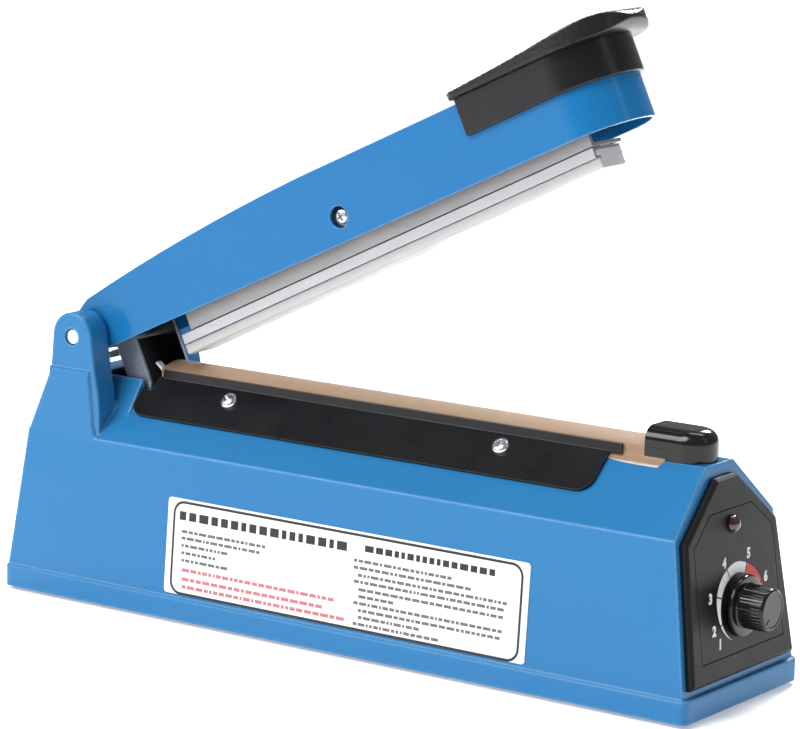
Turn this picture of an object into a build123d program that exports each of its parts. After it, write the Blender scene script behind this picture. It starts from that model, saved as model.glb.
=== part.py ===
from build123d import *
from math import atan2, cos, degrees, radians, sin, sqrt, tan
import os

os.makedirs("parts", exist_ok=True)

# ---- driving dimensions (mm): +X to the control panel, +Y across, +Z up ----
SKIRT_REAR, SKIRT_FRONT = -160.0, 149.0
SKIRT_HALF = 39.1
SKIRT_BOTTOM, SKIRT_TOP = 1.5, 10.0
WALL = 2.6
SIDE_LOW = 37.8        # half width of the body just above the skirt
CREASE_HALF, CREASE_Z = 33.6, 64.1
DECK_HALF, DECK_Z = 9.35, 85.5
FACE_FOOT_X = 147.0    # front face where it meets the skirt
FACE_LEAN = 8.0        # degrees the front face leans back
REAR_FOOT_X, REAR_BEND_X, REAR_BEND_Z = -158.7, -151.6, 65.2
REAR_TOP_X, REAR_TOP_Z = -142.3, 86.4

PIVOT_X, PIVOT_Z = -131.6, 101.8
EAR_RADIUS = 9.4
EAR_INNER, EAR_FACE, EAR_FOOT_Z = 21.2, 32.2, 57.0
SHOULDER_Z = 89.7      # top of the side wall's thicker foot under each ear
PIN_RADIUS = 3.2
RUNNING = 0.06         # radial clearance of the turning fits

ARM_OPEN = 25.4        # degrees the open arm is raised
ARM_HALF = 20.0
ARM_SHEET = 1.5
ARM_BOTTOM, ARM_TOP = -7.8, 21.1
ARM_NOSE = 235.3       # centre of the arm's round front end, from the pivot

ROCKER_U, ROCKER_V = 129.6, 1.5
BAR_TILT = 0.57        # degrees the hanging press bar droops at the rear
SILICONE_FOOT = -21.75  # sealing face, below the rocker pin
SEAL_CROWN = 91.5      # top of the cloth

KNOB_Z = 36.6
KNOB_TIP = 160.0
PANEL_THICK = 3.0
SHEET = 1.0            # retaining plates

# ---- reference planes ----
PIVOT = Vector(PIVOT_X, 0, PIVOT_Z)


def tilted_axis(angle):
    return Vector(cos(radians(angle)), 0, sin(radians(angle)))


def side_plane(origin, angle):
    """Side view of the arm: local x runs along it, local y stands off it."""
    return Plane(origin=origin, x_dir=tilted_axis(angle), z_dir=(0, -1, 0))


def plan_plane(origin, angle, height):
    """Top view of the arm at a height above the line through its pivot."""
    up = tilted_axis(angle + 90)
    return Plane(origin=origin + up * height, x_dir=tilted_axis(angle), z_dir=up)


def end_plane(origin, angle, along):
    """Cross section of the arm: local x is +Y and local y stands off the arm."""
    run = tilted_axis(angle)
    return Plane(origin=origin + run * along, x_dir=(0, 1, 0), z_dir=run)


ARM_SIDE = side_plane(PIVOT, ARM_OPEN)
ROCKER = PIVOT + tilted_axis(ARM_OPEN) * ROCKER_U + tilted_axis(ARM_OPEN + 90) * ROCKER_V
BAR_ANGLE = ARM_OPEN + BAR_TILT
BAR_SIDE = side_plane(ROCKER, BAR_ANGLE)

FACE = Plane(origin=(FACE_FOOT_X, 0, SKIRT_TOP), x_dir=(0, 1, 0), z_dir=tilted_axis(FACE_LEAN))
ROOF_ANGLE = degrees(atan2(DECK_Z - CREASE_Z, CREASE_HALF - DECK_HALF))
ROOF_NORMAL = Vector(0, -sin(radians(ROOF_ANGLE)), cos(radians(ROOF_ANGLE)))
SIDE_ANGLE = degrees(atan2(SIDE_LOW - CREASE_HALF, CREASE_Z - SKIRT_TOP))
SIDE_NORMAL = Vector(0, -cos(radians(SIDE_ANGLE)), sin(radians(SIDE_ANGLE)))
SIDE_WALL = Plane(origin=(0, -SIDE_LOW, SKIRT_TOP), x_dir=(1, 0, 0), z_dir=SIDE_NORMAL)
REAR_ANGLE = degrees(atan2(REAR_BEND_X - REAR_FOOT_X, REAR_BEND_Z - SKIRT_TOP))


def face_x(z):
    return FACE_FOOT_X - (z - SKIRT_TOP) * tan(radians(FACE_LEAN))


def roof_plane(side):
    """Roof slope on the near (-1) or far (+1) side, local y pointing up the slope."""
    return Plane(
        origin=(0, side * DECK_HALF, DECK_Z),
        x_dir=(-side, 0, 0),
        z_dir=(0, -side * ROOF_NORMAL.Y, ROOF_NORMAL.Z),
    )


def save(piece, name):
    piece.part.label = name
    export_step(piece.part, f"parts/{name}.step")


def body_block(inset, top, low):
    """The tapered body, drawn in by one wall thickness for its cavity."""
    with BuildPart() as block:
        with BuildSketch(Plane.YZ.offset(SKIRT_REAR)):
            with BuildLine():
                Polyline(
                    (SIDE_LOW - inset, low),
                    (CREASE_HALF - inset, CREASE_Z - inset * 0.35),
                    (DECK_HALF - inset * 0.35, top),
                    (inset * 0.35 - DECK_HALF, top),
                    (inset - CREASE_HALF, CREASE_Z - inset * 0.35),
                    (inset - SIDE_LOW, low),
                    close=True,
                )
            make_face()
        extrude(amount=SKIRT_FRONT - SKIRT_REAR)
        with BuildSketch(Plane.XZ):
            with BuildLine():
                Polyline(
                    (REAR_FOOT_X + inset, low),
                    (REAR_BEND_X + inset * 1.1, REAR_BEND_Z),
                    (REAR_TOP_X + inset * 1.1, REAR_TOP_Z),
                    (face_x(REAR_TOP_Z) - inset, REAR_TOP_Z),
                    (face_x(low) - inset, low),
                    close=True,
                )
            make_face()
        extrude(amount=SKIRT_HALF, both=True, mode=Mode.INTERSECT)
    return block


def ear_block(side):
    """One hinge ear with rounded edges, and the side wall's shoulder that thickens its foot."""
    with BuildPart() as ear:
        with BuildSketch(Plane.XZ.offset(-side * (EAR_FACE + EAR_INNER) / 2)):
            with BuildLine():
                Polyline(
                    (REAR_BEND_X - 0.9, EAR_FOOT_Z), (REAR_BEND_X, REAR_BEND_Z), (REAR_TOP_X, REAR_TOP_Z),
                    (PIVOT_X - EAR_RADIUS, PIVOT_Z), (PIVOT_X + EAR_RADIUS, PIVOT_Z), (-120.4, 90.0),
                    (-118.6, 81.0), (-118.0, 74.0), (-118.0, EAR_FOOT_Z), close=True,
                )
            make_face()
            with Locations((PIVOT_X, PIVOT_Z)):
                Circle(EAR_RADIUS)
        extrude(amount=(EAR_FACE - EAR_INNER) / 2, both=True)
        for half_width, radius in ((EAR_FACE, 0.8), (EAR_INNER, 1.4)):
            rim = ear.edges().filter_by(lambda e: abs(abs(e.center().Y) - half_width) < 0.1)
            fillet(rim.filter_by(lambda e: e.center().Z > EAR_FOOT_Z + 1), radius)
    with BuildPart() as shoulder:
        with BuildSketch(Plane.XZ.offset(-side * (CREASE_HALF + EAR_FACE - 1) / 2)):
            with BuildLine():
                Polyline(
                    (REAR_BEND_X - 0.9, EAR_FOOT_Z), (REAR_BEND_X, REAR_BEND_Z), (REAR_TOP_X, REAR_TOP_Z),
                    (-142.0, SHOULDER_Z), (-122.2, SHOULDER_Z), (-121.1, 79.0), (-120.1, 69.4),
                    (-118.2, 63.0), (-116.0, EAR_FOOT_Z), close=True,
                )
            make_face()
        extrude(amount=(CREASE_HALF - EAR_FACE + 1) / 2, both=True)
        rim = shoulder.edges().filter_by(lambda e: abs(abs(e.center().Y) - CREASE_HALF) < 0.1)
        fillet(rim.filter_by(lambda e: e.center().Z > EAR_FOOT_Z + 1), 1.3)
    return ear, shoulder


# ---- body shell: moulded housing with skirt, hinge ears and lever slot ----
SLOT_REAR, SLOT_FRONT, SLOT_HALF = -132.0, -106.2, 14.3
PAD_FRONT, PAD_HALF, PAD_FOOT_HALF = -110.2, 15.2, 24.0
PAD_FOOT_Z = CREASE_Z + (CREASE_HALF - PAD_FOOT_HALF) * tan(radians(ROOF_ANGLE))
BLOCK_FRONT = -133.0
BOSS_X, BOSS_HALF, BOSS_RADIUS = (-138.0, 126.0), 25.0, 4.5
BOSS_TOP = 66.0
CORE_SCREW_X = (-33.5, 33.5)
PLATE_TOP = 4.2
WINDOW_HALF, WINDOW_LOW, WINDOW_HIGH = 22.0, 8.0, 60.0
PLATE_SCREW_X, PLATE_SCREW_DROP = (-68.7, 54.6), -6.0
GROMMET_Z = 26.0
REAR_WALL = Plane(
    origin=(REAR_FOOT_X + (GROMMET_Z - SKIRT_TOP) * tan(radians(REAR_ANGLE)), 0, GROMMET_Z),
    x_dir=(0, -1, 0),
    z_dir=(-cos(radians(REAR_ANGLE)), 0, sin(radians(REAR_ANGLE))),
)
GROMMET_NECK = 5.0
SPRING_Z, SPRING_SEAT_RADIUS = 68.5, 3.4

outer_block = body_block(0, DECK_Z, SKIRT_TOP - 1)
fillet(outer_block.edges().filter_by(lambda e: abs(e.center().Z - CREASE_Z) < 0.6 and e.length > 100), 5)
fillet(
    outer_block.edges().filter_by(
        lambda e: abs(e.center().Y) > 30 and (e.bounding_box().size.Z > 30) and e.center().Z < CREASE_Z
    ),
    2.2,
)
inner_block = body_block(WALL, DECK_Z - 3, SKIRT_BOTTOM)
ears = [ear_block(side) for side in (-1, 1)]

with BuildPart() as body_shell:
    add(outer_block.part)
    with BuildSketch(Plane.XY.offset(SKIRT_BOTTOM)):
        with Locations(((SKIRT_REAR + SKIRT_FRONT) / 2, 0)):
            RectangleRounded(SKIRT_FRONT - SKIRT_REAR, 2 * SKIRT_HALF, 3)
    extrude(amount=SKIRT_TOP - SKIRT_BOTTOM)
    fillet(
        body_shell.edges().filter_by(
            lambda e: abs(e.bounding_box().min.Z - SKIRT_TOP) < 0.01
            and abs(e.bounding_box().max.Z - SKIRT_TOP) < 0.01
            and (abs(e.center().Y) > SKIRT_HALF - 0.9 or e.center().X < SKIRT_REAR + 0.9
                 or e.center().X > SKIRT_FRONT - 0.9)
        ),
        0.8,
    )
    # raised pad around the lever slot, and the block that closes the rear between the ears
    with BuildSketch(Plane.YZ.offset(PAD_FRONT)):
        with BuildLine():
            Polyline(
                (PAD_FOOT_HALF, PAD_FOOT_Z), (PAD_HALF, DECK_Z), (-PAD_HALF, DECK_Z),
                (-PAD_FOOT_HALF, PAD_FOOT_Z), close=True,
            )
        make_face()
    extrude(amount=BLOCK_FRONT - PAD_FRONT)
    with BuildSketch(Plane.XZ):
        with BuildLine():
            Polyline(
                (REAR_BEND_X, REAR_BEND_Z), (REAR_TOP_X - 0.4, DECK_Z), (BLOCK_FRONT, DECK_Z),
                (BLOCK_FRONT, REAR_BEND_Z), close=True,
            )
        make_face()
    extrude(amount=EAR_INNER + 1, both=True)
    # the two ears that carry the hinge pin
    for ear, shoulder in ears:
        add(ear.part)
        add(shoulder.part)
    # cavity, open at the bottom
    add(inner_block.part, mode=Mode.SUBTRACT)
    with BuildSketch(Plane.XY.offset(SKIRT_BOTTOM)):
        with Locations(((SKIRT_REAR + SKIRT_FRONT) / 2, 0)):
            RectangleRounded(SKIRT_FRONT - SKIRT_REAR - 2 * WALL, 2 * (SKIRT_HALF - WALL), 2)
    extrude(amount=SKIRT_TOP - SKIRT_BOTTOM - 2, mode=Mode.SUBTRACT)
    # slot that the arm's lever passes through
    with BuildSketch(Plane.XY.offset(CREASE_Z)):
        with Locations(((SLOT_REAR + SLOT_FRONT) / 2, 0)):
            RectangleRounded(SLOT_FRONT - SLOT_REAR, 2 * SLOT_HALF, 2)
    extrude(amount=DECK_Z, mode=Mode.SUBTRACT)
    # window behind the control panel
    with BuildSketch(FACE):
        with Locations((0, (WINDOW_LOW + WINDOW_HIGH) / 2)):
            RectangleRounded(2 * WINDOW_HALF, WINDOW_HIGH - WINDOW_LOW, 3)
    extrude(amount=-8, mode=Mode.SUBTRACT)
    # screw bosses for the bottom plate
    with BuildSketch(Plane.XY.offset(PLATE_TOP)):
        for x in BOSS_X:
            with Locations((x, -BOSS_HALF), (x, BOSS_HALF)):
                Circle(BOSS_RADIUS)
    extrude(amount=BOSS_TOP - PLATE_TOP)
    # spring seat on the rear wall
    with BuildSketch(Plane.YZ.offset(-149.0)):
        with Locations((0, SPRING_Z)):
            Circle(SPRING_SEAT_RADIUS)
    extrude(amount=7)
    # holes: bottom screws, hinge pin, plate screws, cord grommet
    with BuildSketch(Plane.XY.offset(PLATE_TOP)):
        for x in BOSS_X:
            with Locations((x, -BOSS_HALF), (x, BOSS_HALF)):
                Circle(1.5)
    extrude(amount=13, mode=Mode.SUBTRACT)
    with BuildSketch(Plane.XZ):
        with Locations((PIVOT_X, PIVOT_Z)):
            Circle(PIN_RADIUS + 0.1)
    extrude(amount=SKIRT_HALF, both=True, mode=Mode.SUBTRACT)
    for roof in (roof_plane(-1), roof_plane(1)):
        with BuildSketch(roof):
            for x in PLATE_SCREW_X:
                with Locations((x * roof.x_dir.X, PLATE_SCREW_DROP)):
                    Circle(1.6)
        extrude(amount=5, both=True, mode=Mode.SUBTRACT)
    with BuildSketch(REAR_WALL):
        Circle(GROMMET_NECK)
    extrude(amount=-6, mode=Mode.SUBTRACT)
save(body_shell, "body_shell")

# ---- bottom plate: pressed steel sheet with vent slots ----
with BuildPart() as base_plate:
    with BuildSketch(Plane.XY.offset(PLATE_TOP - 1.2)):
        with Locations(((SKIRT_REAR + SKIRT_FRONT) / 2, 0)):
            RectangleRounded(SKIRT_FRONT - SKIRT_REAR - 2 * WALL - 1, 2 * (SKIRT_HALF - WALL) - 1, 2)
        for x in BOSS_X:
            with Locations((x, -BOSS_HALF), (x, BOSS_HALF)):
                Circle(1.7, mode=Mode.SUBTRACT)
        for x in CORE_SCREW_X:
            with Locations((x, 0)):
                Circle(1.7, mode=Mode.SUBTRACT)
        with GridLocations(11, 34, 7, 2):
            SlotOverall(24, 3, rotation=90, mode=Mode.SUBTRACT)
    extrude(amount=1.2)
save(base_plate, "base_plate")


def turned(points, origin, axis_dir, side_dir):
    """A round piece from a half profile: local x is the radius, local y runs along its axis."""
    plane = Plane(origin=origin, x_dir=side_dir, z_dir=Vector(*side_dir).cross(Vector(*axis_dir)))
    with BuildPart() as piece:
        with BuildSketch(plane):
            with BuildLine():
                Polyline(*points, close=True)
            make_face()
        revolve(axis=Axis(origin, axis_dir), revolution_arc=360)
    return piece


# ---- four rubber feet and the screws through them ----
foot_places = [(x, y) for x in BOSS_X for y in (-BOSS_HALF, BOSS_HALF)]
for number, (x, y) in enumerate(foot_places, start=1):
    foot = turned(
        [(1.7, 1.6), (3.6, 1.6), (3.6, 0), (6.4, 0), (7.0, 0.6), (7.4, 3.0), (1.7, 3.0)],
        (x, y, 0), (0, 0, 1), (1, 0, 0),
    )
    save(foot, f"rubber_foot_{number}")
    base_screw = turned(
        [(0, 0.5), (2.6, 0.5), (3.1, 1.0), (3.1, 1.6), (1.4, 1.6), (1.4, 15), (0.6, 16), (0, 16)],
        (x, y, 0), (0, 0, 1), (1, 0, 0),
    )
    save(base_screw, f"base_screw_{number}")

# ---- control panel: moulded plate with bevelled edge and a scored outline ----
PANEL_LOW, PANEL_SHOULDER, PANEL_HIGH = 2.5, 52.6, 72.0
PANEL_HALF = (34.9, 31.1, 7.1)
SCORE = ((28.0, 10.0), (27.0, 50.6), (14.0, 60.8))
SCORE_WIDTH = 0.5
LENS_RISE = 55.0


def mirrored(points):
    return list(points) + [(-x, y) for x, y in reversed(points)]


with BuildPart() as control_panel:
    with BuildSketch(FACE):
        with BuildLine():
            Polyline(
                *mirrored(
                    ((PANEL_HALF[0], PANEL_LOW), (PANEL_HALF[1], PANEL_SHOULDER), (PANEL_HALF[2], PANEL_HIGH))
                ),
                close=True,
            )
        make_face()
    extrude(amount=PANEL_THICK)
    front = control_panel.faces().filter_by(lambda f: f.normal_at().dot(FACE.z_dir) > 0.99)
    chamfer(front.edges(), 1.3)
    with BuildSketch(FACE.offset(PANEL_THICK - 0.3)):
        with BuildLine():
            Polyline(*mirrored(SCORE), close=True)
        make_face()
        with BuildLine():
            Polyline(
                (28.0 - SCORE_WIDTH, 10.0 + SCORE_WIDTH), (27.0 - SCORE_WIDTH, 50.4),
                (13.8, 60.8 - SCORE_WIDTH), (-13.8, 60.8 - SCORE_WIDTH),
                (SCORE_WIDTH - 27.0, 50.4), (SCORE_WIDTH - 28.0, 10.0 + SCORE_WIDTH),
                close=True,
            )
        make_face(mode=Mode.SUBTRACT)
    extrude(amount=1, mode=Mode.SUBTRACT)
    with BuildSketch(FACE):
        with Locations((0, LENS_RISE)):
            Circle(2.6)
    extrude(amount=PANEL_THICK, mode=Mode.SUBTRACT)
    with BuildSketch(Plane.YZ.offset(130)):
        with Locations((0, KNOB_Z)):
            Circle(3.7)
    extrude(amount=30, mode=Mode.SUBTRACT)
save(control_panel, "control_panel")

# ---- indicator lamp lens: red dome pushed through the panel ----
lens_seat = FACE.offset(PANEL_THICK)
lens_origin = lens_seat.origin + lens_seat.y_dir * LENS_RISE
LENS_RADIUS, LENS_RIM, LENS_TOP = 3.2, 0.7, 3.0
dome = (LENS_RADIUS ** 2 + (LENS_TOP - LENS_RIM) ** 2) / (2 * (LENS_TOP - LENS_RIM))
dome_start = degrees(atan2(LENS_RIM - LENS_TOP + dome, LENS_RADIUS))
with BuildPart() as indicator_lens:
    with BuildSketch(Plane(origin=lens_origin, x_dir=(0, 1, 0), z_dir=lens_seat.y_dir * -1)):
        with BuildLine():
            Polyline((0, LENS_TOP), (0, -9), (2.5, -9), (2.5, 0), (LENS_RADIUS, 0), (LENS_RADIUS, LENS_RIM))
            CenterArc((0, LENS_TOP - dome), dome, dome_start, 90 - dome_start)
        make_face()
    revolve(axis=Axis(lens_origin, lens_seat.z_dir), revolution_arc=360)
save(indicator_lens, "indicator_lens")

# ---- timer control: potentiometer behind the panel, its nut, and the knob on its shaft ----
X_AXIS, Y_SIDE = (1, 0, 0), (0, 1, 0)
knob_origin = (0, 0, KNOB_Z)
timer_pot = turned(
    [(0, 126.5), (8.2, 126.5), (8.2, 136.0), (3.5, 136.0), (3.5, 148.3), (3.0 + RUNNING, 148.3),
     (3.0 + RUNNING, 136.6), (0, 136.6)],
    knob_origin, X_AXIS, Y_SIDE,
)
save(timer_pot, "timer_pot")
with BuildPart() as timer_nut:
    with BuildSketch(Plane.YZ.offset(147.05)):
        with Locations((0, KNOB_Z)):
            RegularPolygon(5.2, 6)
            Circle(3.5, mode=Mode.SUBTRACT)
    extrude(amount=1.0)
save(timer_nut, "timer_nut")

FLANGE_BACK, FLANGE_FRONT, FLANGE_RADIUS = 148.0, 149.7, 11.0
KNOB_RIBS, KNOB_RADIUS = 24, 7.9
with BuildPart() as timer_knob:
    with BuildSketch(Plane.YZ.offset(FLANGE_BACK)):
        with Locations((0, KNOB_Z)):
            Circle(FLANGE_RADIUS)
    extrude(amount=FLANGE_FRONT - FLANGE_BACK)
    fillet(timer_knob.faces().sort_by(Axis.X)[-1].edges(), 0.6)
    with BuildSketch(Plane.YZ.offset(FLANGE_FRONT)):
        with Locations((0, KNOB_Z)):
            Circle(KNOB_RADIUS)
            with PolarLocations(KNOB_RADIUS, KNOB_RIBS):
                Circle(0.42, mode=Mode.SUBTRACT)
    extrude(amount=KNOB_TIP - FLANGE_FRONT - 0.9)
    with BuildSketch(Plane.YZ.offset(KNOB_TIP - 0.9)):
        with Locations((0, KNOB_Z)):
            Circle(KNOB_RADIUS - 0.25)
    extrude(amount=0.9)
    chamfer(timer_knob.faces().sort_by(Axis.X)[-1].edges(), 0.5)
    with BuildSketch(Plane.YZ.offset(FLANGE_BACK)):
        with Locations((0, KNOB_Z)):
            Circle(6.2)
    extrude(amount=2.4, mode=Mode.SUBTRACT)
    with BuildSketch(Plane.YZ.offset(FLANGE_BACK)):
        with Locations((0, KNOB_Z)):
            Circle(3.0)
    extrude(amount=10, mode=Mode.SUBTRACT)
save(timer_knob, "timer_knob")
timer_shaft = turned([(0, 136.9), (3.0, 136.9), (3.0, 158.0), (0, 158.0)], knob_origin, X_AXIS, Y_SIDE)
save(timer_shaft, "timer_shaft")

# ---- circuit board with its relay and capacitor ----
BOARD_X = 112.0
with BuildPart() as circuit_board:
    with BuildSketch(Plane.YZ.offset(BOARD_X)):
        with Locations((0, 33)):
            Rectangle(44, 50)
            with GridLocations(38, 44, 2, 2):
                Circle(1.4, mode=Mode.SUBTRACT)
    extrude(amount=1.6)
save(circuit_board, "circuit_board")
with BuildPart() as board_relay:
    with BuildSketch(Plane.YZ.offset(BOARD_X)):
        with Locations((-9, 24)):
            RectangleRounded(15.5, 19, 1)
    extrude(amount=-15)
save(board_relay, "board_relay")
with BuildPart() as board_capacitor:
    with BuildSketch(Plane.YZ.offset(BOARD_X)):
        with Locations((10, 40)):
            Circle(5)
    extrude(amount=-12)
    fillet(board_capacitor.faces().sort_by(Axis.X)[0].edges(), 1)
save(board_capacitor, "board_capacitor")
with BuildPart() as board_bracket:
    with BuildSketch(Plane.XY.offset(PLATE_TOP)):
        with Locations((BOARD_X + 8, 0)):
            Rectangle(12, 34)
    extrude(amount=1.2)
    with BuildSketch(Plane.YZ.offset(BOARD_X + 1.6)):
        with Locations((0, PLATE_TOP + 7)):
            Rectangle(34, 14)
    extrude(amount=1.2)
save(board_bracket, "board_bracket")

# ---- transformer: laminated core, winding and two screws ----
CORE_LENGTH, CORE_DEPTH, CORE_HEIGHT, LIMB = 56.0, 26.0, 46.0, 18.0
CORE_WINDOW = (9.5, 27.0)
CORE_MID = PLATE_TOP + CORE_HEIGHT / 2
with BuildPart() as transformer_core:
    with BuildSketch(Plane.XZ):
        with Locations((0, CORE_MID)):
            Rectangle(CORE_LENGTH, CORE_HEIGHT)
            with GridLocations(LIMB + CORE_WINDOW[0], 1, 2, 1):
                Rectangle(*CORE_WINDOW, mode=Mode.SUBTRACT)
    extrude(amount=CORE_DEPTH / 2, both=True)
    with BuildSketch(Plane.XY.offset(PLATE_TOP)):
        Rectangle(CORE_LENGTH + 20, CORE_DEPTH - 6)
        with GridLocations(CORE_LENGTH + 11, 1, 2, 1):
            Circle(1.8, mode=Mode.SUBTRACT)
    extrude(amount=2)
save(transformer_core, "transformer_core")
with BuildPart() as transformer_coil:
    with BuildSketch(Plane.XY.offset(CORE_MID - 13)):
        RectangleRounded(LIMB + 2 * CORE_WINDOW[0] - 0.6, CORE_DEPTH + 2 * CORE_WINDOW[0], 4)
        Rectangle(LIMB + 0.4, CORE_DEPTH + 0.4, mode=Mode.SUBTRACT)
    extrude(amount=26)
save(transformer_coil, "transformer_coil")
for number, x in enumerate(CORE_SCREW_X, start=1):
    core_screw = turned(
        [(0, 3.0), (1.6, 3.0), (1.6, 6.2), (3.2, 6.2), (3.2, 7.4), (2.4, 8.2), (0, 8.2)],
        (x, 0, 0), (0, 0, 1), (1, 0, 0),
    )
    save(core_screw, f"core_screw_{number}")

# ---- limit switch that the lever presses when the arm is down ----
SWITCH_Z, SWITCH_FRONT = 50.5, -126.4
BUTTON_FACE = -123.3
with BuildPart() as switch_body:
    with BuildSketch(Plane.XZ.offset(-3.2)):
        with Locations((SWITCH_FRONT - 9.9, SWITCH_Z)):
            Rectangle(19.8, 10.2)
            with GridLocations(9.5, 1, 2, 1):
                Circle(1.25, mode=Mode.SUBTRACT)
    extrude(amount=6.4)
    with BuildSketch(Plane.YZ.offset(SWITCH_FRONT)):
        with Locations((0, SWITCH_Z)):
            Rectangle(1.8 + 0.4, 3.4 + 0.4)
    extrude(amount=-4.5, mode=Mode.SUBTRACT)
save(switch_body, "switch_body")
with BuildPart() as switch_button:
    with BuildSketch(Plane.YZ.offset(BUTTON_FACE)):
        with Locations((0, SWITCH_Z)):
            Rectangle(1.8, 3.4)
    extrude(amount=-5.5)
    fillet(switch_button.faces().sort_by(Axis.X)[-1].edges(), 0.5)
save(switch_button, "switch_button")
with BuildPart() as switch_bracket:
    with BuildSketch(Plane.XZ.offset(-4.4)):
        with Locations((SWITCH_FRONT - 9.9, (PLATE_TOP + SWITCH_Z + 6) / 2)):
            Rectangle(18, SWITCH_Z + 6 - PLATE_TOP)
    extrude(amount=1.2)
    with BuildSketch(Plane.XY.offset(PLATE_TOP)):
        with Locations((SWITCH_FRONT - 9.9, 9.4)):
            Rectangle(18, 10)
    extrude(amount=1.2)
save(switch_bracket, "switch_bracket")

# ---- return spring: coil between the rear wall and the lever ----
SPRING_REAR, SPRING_FRONT, SPRING_RADIUS, SPRING_WIRE = -143.6, -115.4, 4.6, 0.6
with BuildPart() as return_spring:
    with BuildLine() as spring_line:
        Helix(pitch=3.6, height=SPRING_FRONT - SPRING_REAR, radius=SPRING_RADIUS,
              center=(SPRING_REAR, 0, SPRING_Z), direction=(1, 0, 0))
    with BuildSketch(Plane(origin=spring_line.line @ 0, z_dir=spring_line.line % 0)):
        Circle(SPRING_WIRE)
    sweep()
save(return_spring, "return_spring")

# ---- hinge pin and its washers ----
with BuildPart() as hinge_pin:
    with BuildSketch(Plane.XZ):
        with Locations((PIVOT_X, PIVOT_Z)):
            Circle(PIN_RADIUS)
    extrude(amount=EAR_FACE - 0.8, both=True)
    chamfer(hinge_pin.edges().filter_by(GeomType.CIRCLE), 0.5)
save(hinge_pin, "hinge_pin")
for name, start in (("hinge_washer_near", -21.15), ("hinge_washer_far", 20.35)):
    with BuildPart() as hinge_washer:
        with BuildSketch(Plane.XZ.offset(-start)):
            with Locations((PIVOT_X, PIVOT_Z)):
                Circle(7.0)
                Circle(PIN_RADIUS + RUNNING, mode=Mode.SUBTRACT)
        extrude(amount=-0.8)
    save(hinge_washer, name)


# ---- sealing platform: rail, glass tape, heating ribbon and woven cloth ----
RAIL_REAR, RAIL_FRONT = -105.5, 119.0
ARCH_RISE = 2.1


def arch(half, foot, crown):
    """Outline of a low arch, flat below, across the rail."""
    with BuildLine() as outline:
        Polyline((half, crown - ARCH_RISE), (half, foot), (-half, foot), (-half, crown - ARCH_RISE))
        ThreePointArc((-half, crown - ARCH_RISE), (0, crown), (half, crown - ARCH_RISE))
    return outline.line


with BuildPart() as sealing_rail:
    with BuildSketch(Plane.YZ.offset(RAIL_REAR)):
        add(arch(8.3, DECK_Z, SEAL_CROWN - 1.0))
        make_face()
    extrude(amount=RAIL_FRONT - RAIL_REAR)
save(sealing_rail, "sealing_rail")
with BuildPart() as insulating_tape:
    with BuildSketch(Plane.YZ.offset(RAIL_REAR)):
        add(arch(8.6, SEAL_CROWN - 4.0, SEAL_CROWN - 0.7))
        make_face()
        add(arch(8.3, DECK_Z - 2, SEAL_CROWN - 1.0))
        make_face(mode=Mode.SUBTRACT)
    extrude(amount=RAIL_FRONT - RAIL_REAR)
save(insulating_tape, "insulating_tape")
with BuildPart() as heating_element:
    with BuildSketch(Plane.YZ.offset(RAIL_REAR)):
        with Locations((0, SEAL_CROWN - 0.56)):
            Rectangle(4.0, 0.2)
    extrude(amount=RAIL_FRONT - RAIL_REAR)
save(heating_element, "heating_element")
with BuildPart() as ptfe_cloth:
    with BuildSketch(Plane.YZ.offset(RAIL_REAR - 0.4)):
        add(arch(9.05, DECK_Z + 0.3, SEAL_CROWN))
        make_face()
        add(arch(8.8, DECK_Z - 2, SEAL_CROWN - 0.25))
        make_face(mode=Mode.SUBTRACT)
        for side in (-1, 1):
            with BuildLine():
                Polyline(
                    (side * 8.8, DECK_Z + 0.01), (side * DECK_HALF, DECK_Z + 0.01), (side * 11.7, 83.45),
                    (side * 11.87, 83.63), (side * 9.46, DECK_Z + 0.3), (side * 8.8, DECK_Z + 0.3),
                    close=True,
                )
            make_face()
    extrude(amount=RAIL_FRONT - RAIL_REAR + 1.4)
save(ptfe_cloth, "ptfe_cloth")
with BuildPart() as element_tab:
    with BuildSketch(Plane.XZ.offset(6.0)):
        with BuildLine():
            Polyline(
                (-105.95, 88.6), (-105.95, 89.6), (-108.9, 91.7), (-109.4, 91.0), (-106.4, 88.6), close=True
            )
        make_face()
    extrude(amount=2.6)
save(element_tab, "element_tab")
with BuildPart() as element_clamp:
    with BuildSketch(Plane.XY.offset(DECK_Z)):
        with Locations((125.2, 0)):
            Rectangle(7, 9)
    extrude(amount=5.5)
    fillet(element_clamp.faces().sort_by(Axis.Z)[-1].edges(), 0.8)
save(element_clamp, "element_clamp")

# ---- retaining plates: bent sheets that hold the cloth down, with two screws each ----
PLATE_LIFT, PLATE_LIP_Z = 0.32, 89.5
for name, side in (("retaining_plate_near", -1), ("retaining_plate_far", 1)):
    lie = roof_plane(side)
    with BuildPart() as retaining_plate:
        with BuildSketch(lie.offset(PLATE_LIFT)):
            with BuildLine():
                Polyline(
                    (side * 106.0, 0.2), (side * 106.0, -7.0), (side * 109.8, -7.0), (side * 109.8, -18.9),
                    (-side * 97.6, -18.9), (-side * 97.6, 0.2), close=True,
                )
            make_face()
            for x in PLATE_SCREW_X:
                with Locations((-side * x, PLATE_SCREW_DROP)):
                    Circle(1.7, mode=Mode.SUBTRACT)
        extrude(amount=SHEET)
        low_corners = retaining_plate.edges().filter_by(
            lambda e: abs(e.length - SHEET) < 0.01 and abs(e.center().Y) > 20
        )
        fillet(low_corners, 6)
        with BuildSketch(Plane.YZ.offset(-104)):
            with BuildLine():
                Polyline(
                    (side * 9.45, DECK_Z + 0.45), (side * 9.45, PLATE_LIP_Z), (side * 10.45, PLATE_LIP_Z),
                    (side * 10.45, DECK_Z + 0.2), close=True,
                )
            make_face()
        extrude(amount=206.5)
    save(retaining_plate, name)


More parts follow.
